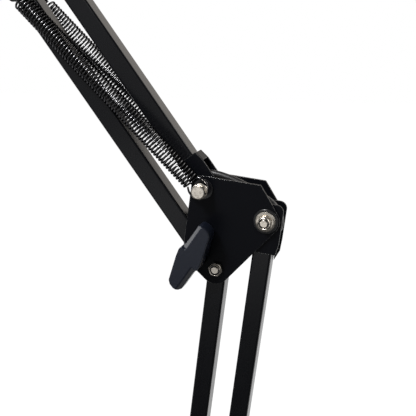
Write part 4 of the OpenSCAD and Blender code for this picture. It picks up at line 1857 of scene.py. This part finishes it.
@dataclass
class Head:
    """Bracket, neck, yoke and light bar.

    Attributes:
        bones: The arm's pivots.
        columns: LEDs along the bar.
        rows: Rows of LEDs.
        pitch: Distance between LEDs along the bar.
        row_gap: Distance between the rows.
        led: Half of one LED's length and width.
        led_t: Height of one LED.
        board_edge: Rounding of the board's edge.
        neck: Middle of the neck's two bolts from the head's pivot, in millimetres.
        neck_spread: Half of the distance between those bolts, in millimetres.
        ear: Where the tilt bolt's head bears on the yoke, from the middle plane.
        tilt_past: Length of the tilt bolt beyond the yoke.
        lead_start: Distance of the lead's end in the tie bar from its pivot, in millimetres.
        lead_route: Middle of the lead from there on, from the head's pivot, in millimetres.
    """

    bones: Skeleton
    columns: int = 14
    rows: int = 2
    pitch: float = 16 * MM
    row_gap: float = 22 * MM
    led: Pair = (1.75 * MM, 1.4 * MM)
    led_t: float = 0.8 * MM
    board_edge: float = 0.15 * MM
    neck: Pair = (-23.5, 2.5)
    neck_spread: float = 7.5
    ear: float = 13.5 * MM
    tilt_past: float = 9 * MM
    lead_start: float = 14.8
    lead_route: tuple[Pair, ...] = (
        (9.8, 30.7), (6.4, 32), (1.6, 32.4), (-4, 31.6), (-9.6, 29.8), (-14.8, 27.2), (-19, 24),
        (-21.8, 20.4), (-23.2, 17), (-23.5, 13.5), (-23.5, 0), (-23.5, -30),
    )

    def build(self) -> None:
        """Makes the head's pieces."""
        build_bracket("head")
        softened("neck_block", PLASTIC, 0.5 * MM, 3)
        softened("head_yoke", ALLOY, 0.5 * MM, 3, clamp=True)
        softened("tilt_knob", KNOB_PLASTIC, 0.5 * MM, 3)
        softened("head_housing", ALLOY, 0.35 * MM)
        softened("end_caps", PLASTIC, 0.6 * MM, 3)
        softened("diffuser", OPAL_PANEL, 0.2 * MM)
        softened("driver_board", GREEN_BOARD, 0.08 * MM)
        for node in ("power_button", "dimmer_button"):
            softened(node, SOFT_BUTTON, 0.7 * MM, 4)
        self.build_bolts()
        self.build_leds()
        tie, way = self.bones.head_tie - self.bones.head, self.bones.upper_way * self.lead_start
        route = [(tie.x / MM - way.x, tie.z / MM - way.z), *self.lead_route]
        Lead("head_lead", self.bones.head, route, ("head_bracket",)).build()

    def build_bolts(self) -> None:
        """Makes the bracket's bolts and the tilt bolt."""
        b = self.bones
        tip = -b.plate - HARDWARE.nut - HARDWARE.past
        tie, (neck_x, neck_z) = b.head_tie, self.neck
        spots = [(b.head.x, b.head.z), (tie.x, tie.z)]
        spots += [from_pivot(b.head, neck_x + s * self.neck_spread, neck_z) for s in (-1, 1)]
        places = [Place(x, z, 15, b.plate, tip, -b.plate) for x, z in spots]
        FastenerSet("head_bolts", "head_nuts", places).build()
        place = Place(b.tilt.x, b.tilt.z, 0, self.ear, -self.ear - self.tilt_past)
        FastenerSet("tilt_bolt", None, [place]).build()

    def build_leds(self) -> None:
        """Makes the LED board and sets the LEDs on it."""
        low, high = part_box("led_board")
        middle, half = (low + high) / 2, (high - low) / 2
        base, edge = low.z + self.led_t, self.board_edge
        levels = [(edge, base), (0, base + edge), (0, high.z - edge), (edge, high.z)]
        board = block([(half.x - e, half.y - e, z) for e, z in levels], middle.x, middle.y)
        dressed(board.mesh("led_board"), "led_board.masked", LED_BOARD, "light_bar", ["led_board"])
        (wide, deep), tall = self.led, base - low.z
        case = [(0.96, 0), (1, -0.1 * MM), (1, -tall + 0.15 * MM), (0.93, -tall)]
        dot = [(0.7, -tall + 0.1 * MM), (0.74, -tall - 0.02 * MM), (0.6, -tall - 0.05 * MM)]
        point = bpy.data.meshes.new("middle")
        point.from_pydata([(middle.x, middle.y, base)], [], [])
        parts = ((case, "led_cases", LED_CASE), (dot, "led_phosphor", PHOSPHOR))
        for levels, name, finish in parts:
            model = linked("model", block([(wide * k, deep * k, z) for k, z in levels]).mesh(name))
            mesh = ARRAY.mesh(
                name, point.copy(), finish, SHARP, Piece=model, Columns=self.columns,
                Rows=self.rows, Length=self.pitch * (self.columns - 1), Width=self.row_gap,
            )
            bpy.data.objects.remove(model)
            dressed(mesh, name, finish, "light_bar")


# Studio


@dataclass
class Lamp:
    """A soft studio lamp.

    Attributes:
        name: Its name.
        place: Where it stands.
        aim: Where it points.
        width: Width of its face.
        height: Height of its face.
        radiance: Brightness of the face, where white paper in plain light is one.
    """

    name: str
    place: Triple
    aim: Triple
    width: float
    height: float
    radiance: float

    def build(self) -> None:
        """Sets the lamp up, unseen by the camera itself."""
        data = bpy.data.lights.new(self.name, "AREA")
        data.shape = "RECTANGLE"
        data.size, data.size_y = self.width, self.height
        data.energy = self.radiance * math.pi * self.width * self.height
        lamp = linked(self.name, data)
        lamp.location = self.place
        way = Vector(self.aim) - Vector(self.place)
        lamp.rotation_euler = way.to_track_quat("-Z", "Y").to_euler()
        lamp.visible_camera = False


@dataclass
class Studio:
    """Camera, pale floor, soft light and white surroundings.

    Attributes:
        azimuth: Camera's turn round the lamp, in degrees.
        elevation: Its height above the horizon, in degrees.
        target: The point that it looks at.
        distance: Its distance from there.
        lens: Focal length in millimetres, for a sensor 36 mm wide.
        floor_z: Height of the floor.
        floor_size: Width of the floor.
        ambient: Brightness of the surroundings for matt surfaces.
        front: Brightness of the surroundings in front, as gloss shows them.
        glow: The same near the horizon in front.
        rear: The same behind.
        warm: Colour of the surroundings behind, as gloss shows them.
        horizon: Steepness up to which there is only that glow, and from which there is none.
        turn: How far behind the front passes into the rear, as directions along Y.
        lit_turn: Lean of the lit part of the rear.
        lit_edge: Where the lit part starts to either side, as directions.
        lit_top: Steepness from which the lit part fades, and from which it is gone.
        card: Brightness of the pale card on the floor in front, as gloss shows it.
        card_place: Middle of the card.
        card_size: Half its width along X and along Y.
        card_soft: Half the width of its soft edge.
        floor_turn: Where the floor's front passes into its rear, along Y.
        floor_white: Brightness of the floor, as the camera sees it.
        floor_grey: Colour of the floor in plain light.
        floor_seen: Share of that brightness, the rest being real light and shadow.
        floor_gloss: The same, as gloss shows it.
        lamps: The lamps.
    """

    azimuth: float = 16.924
    elevation: float = 14.418
    target: Triple = (0.02007, 0.0, 0.46208)
    distance: float = 0.42971
    lens: float = 59.19
    floor_z: float = -0.16
    floor_size: float = 14.0
    ambient: float = 0.45
    front: float = 0.04
    glow: float = 0.5
    rear: float = 1.25
    warm: Colour = (1.0, 0.94, 0.87)
    horizon: Pair = (0.06, 0.35)
    turn: Pair = (-0.1, 0.3)
    lit_turn: float = 0.45
    lit_edge: Pair = (-0.1, 0.1)
    lit_top: Pair = (0.5, 0.8)
    card: float = 0.95
    card_place: Pair = (-0.7, -2.55)
    card_size: Pair = (0.9, 0.95)
    card_soft: float = 0.2
    floor_turn: Pair = (-0.3, 0.3)
    floor_white: float = 1.12
    floor_grey: float = 0.86
    floor_seen: float = 0.85
    floor_gloss: float = 0.97
    lamps: tuple[Lamp, ...] = (
        Lamp("key", (-0.57, -0.70, 1.62), (0.0, 0.0, 0.45), 0.35, 0.8, 12.0),
        Lamp("side_strip", (-0.75, 0.16, 0.62), (0.0, 0.0, 0.44), 0.35, 0.5, 3.0),
        Lamp("rim", (0.88, 0.52, 1.08), (0.0, 0.0, 0.45), 0.35, 0.35, 5.0),
        Lamp("spark", (-0.30, -0.92, 1.42), (-0.05, 0.0, 0.55), 0.2, 0.2, 110.0),
    )

    def build(self) -> None:
        """Sets the studio up."""
        bpy.context.scene.view_settings.view_transform = "Standard"
        self.build_camera()
        self.build_world()
        self.build_floor()
        for lamp in self.lamps:
            lamp.build()

    def build_camera(self) -> None:
        """Aims the camera as the photograph was taken."""
        az, el = math.radians(self.azimuth), math.radians(self.elevation)
        level = math.cos(el)
        back = Vector((math.sin(az) * level, -math.cos(az) * level, math.sin(el)))
        data = bpy.data.cameras.new("camera")
        data.lens = self.lens
        data.sensor_width = 36
        camera = linked("camera", data)
        camera.location = Vector(self.target) + back * self.distance
        camera.rotation_euler = (-back).to_track_quat("-Z", "Y").to_euler()
        data.clip_start, data.clip_end = 0.01, 60
        bpy.context.scene.camera = camera

    def build_world(self) -> None:
        """White surroundings, which gloss sees dark in front and part lit behind."""
        world = bpy.data.worlds.new("studio")
        world.use_nodes = True
        bpy.context.scene.world = world
        n = Nodes(world.node_tree)
        seen, through, gloss = (n.ray(kind) for kind in ("Camera", "Transmission", "Glossy"))
        way = n.add("ShaderNodeTexCoord", output="Generated")
        aside, along, height = n.axis(way, "X"), n.axis(way, "Y"), abs(n.axis(way, "Z"))
        behind = along.band(*self.turn)
        lit = (aside + along * self.lit_turn).band(*self.lit_edge)
        lit = lit * (1 - height.band(*self.lit_top))
        before = self.glow + (self.front - self.glow) * height.band(*self.horizon)
        mirrored = before + (self.front + (self.rear - self.front) * lit - before) * behind
        level = self.ambient + gloss * (mirrored - self.ambient)
        direct = (seen + through).clamped()
        strength = level + direct * (1 - level)
        colour = n.mix(gloss * behind, (1, 1, 1), self.warm)
        sky = n.add("ShaderNodeBackground", {}, {"Color": colour, "Strength": strength})
        n.add("ShaderNodeOutputWorld", {}, [sky])

    def build_floor(self) -> None:
        """A pale floor that keeps a faint shadow."""
        half = self.floor_size / 2
        mesh = bpy.data.meshes.new("floor")
        corners = [(-half, -half), (half, -half), (half, half), (-half, half)]
        mesh.from_pydata([(x, y, self.floor_z) for x, y in corners], [], [(0, 1, 2, 3)])
        floor = linked("floor", mesh)
        paint = bpy.data.materials.new("floor_paint")
        paint.use_nodes = True
        n = Nodes(paint.node_tree)
        seen, gloss = n.ray("Camera"), n.ray("Glossy")
        place = n.add("ShaderNodeNewGeometry", output="Position")
        across, far = n.axis(place, "X"), n.axis(place, "Y")
        behind = far.band(*self.floor_turn)
        (x, y), (wide, deep), soft = self.card_place, self.card_size, self.card_soft
        on_card = 1 - abs(across - x).band(wide - soft, wide + soft)
        on_card = on_card * (1 - abs(far - y).band(deep - soft, deep + soft))
        grey = (*[self.floor_grey] * 3, 1)
        matt = n.add("ShaderNodeBsdfDiffuse", {}, {"Color": grey})
        mirrored = self.front + (self.rear - self.front) * behind + self.card * on_card
        level = seen * self.floor_white + gloss * mirrored
        glow = n.add("ShaderNodeEmission", {}, {"Color": (1, 1, 1, 1), "Strength": level})
        share = seen * self.floor_seen + gloss * self.floor_gloss
        mixed = n.add("ShaderNodeMixShader", {}, [share, matt, glow])
        n.add("ShaderNodeOutputMaterial", {}, [mixed])
        mesh.materials.append(paint)


def main() -> None:
    """Builds the studio and the lamp."""
    logging.basicConfig(level=logging.INFO, format="%(name)s: %(message)s")
    Studio().build()
    b = SKELETON
    Arm("lower", b.foot, b.foot_tie, b.lower_way, 150 * MM, "turret").build()
    Arm("upper", b.tension, b.hook, b.upper_way, 192 * MM, "elbow").build()
    Elbow(b).build()
    Base(b).build()
    Clamp().build()
    Head(b).build()


if __name__ == "__main__":
    main()
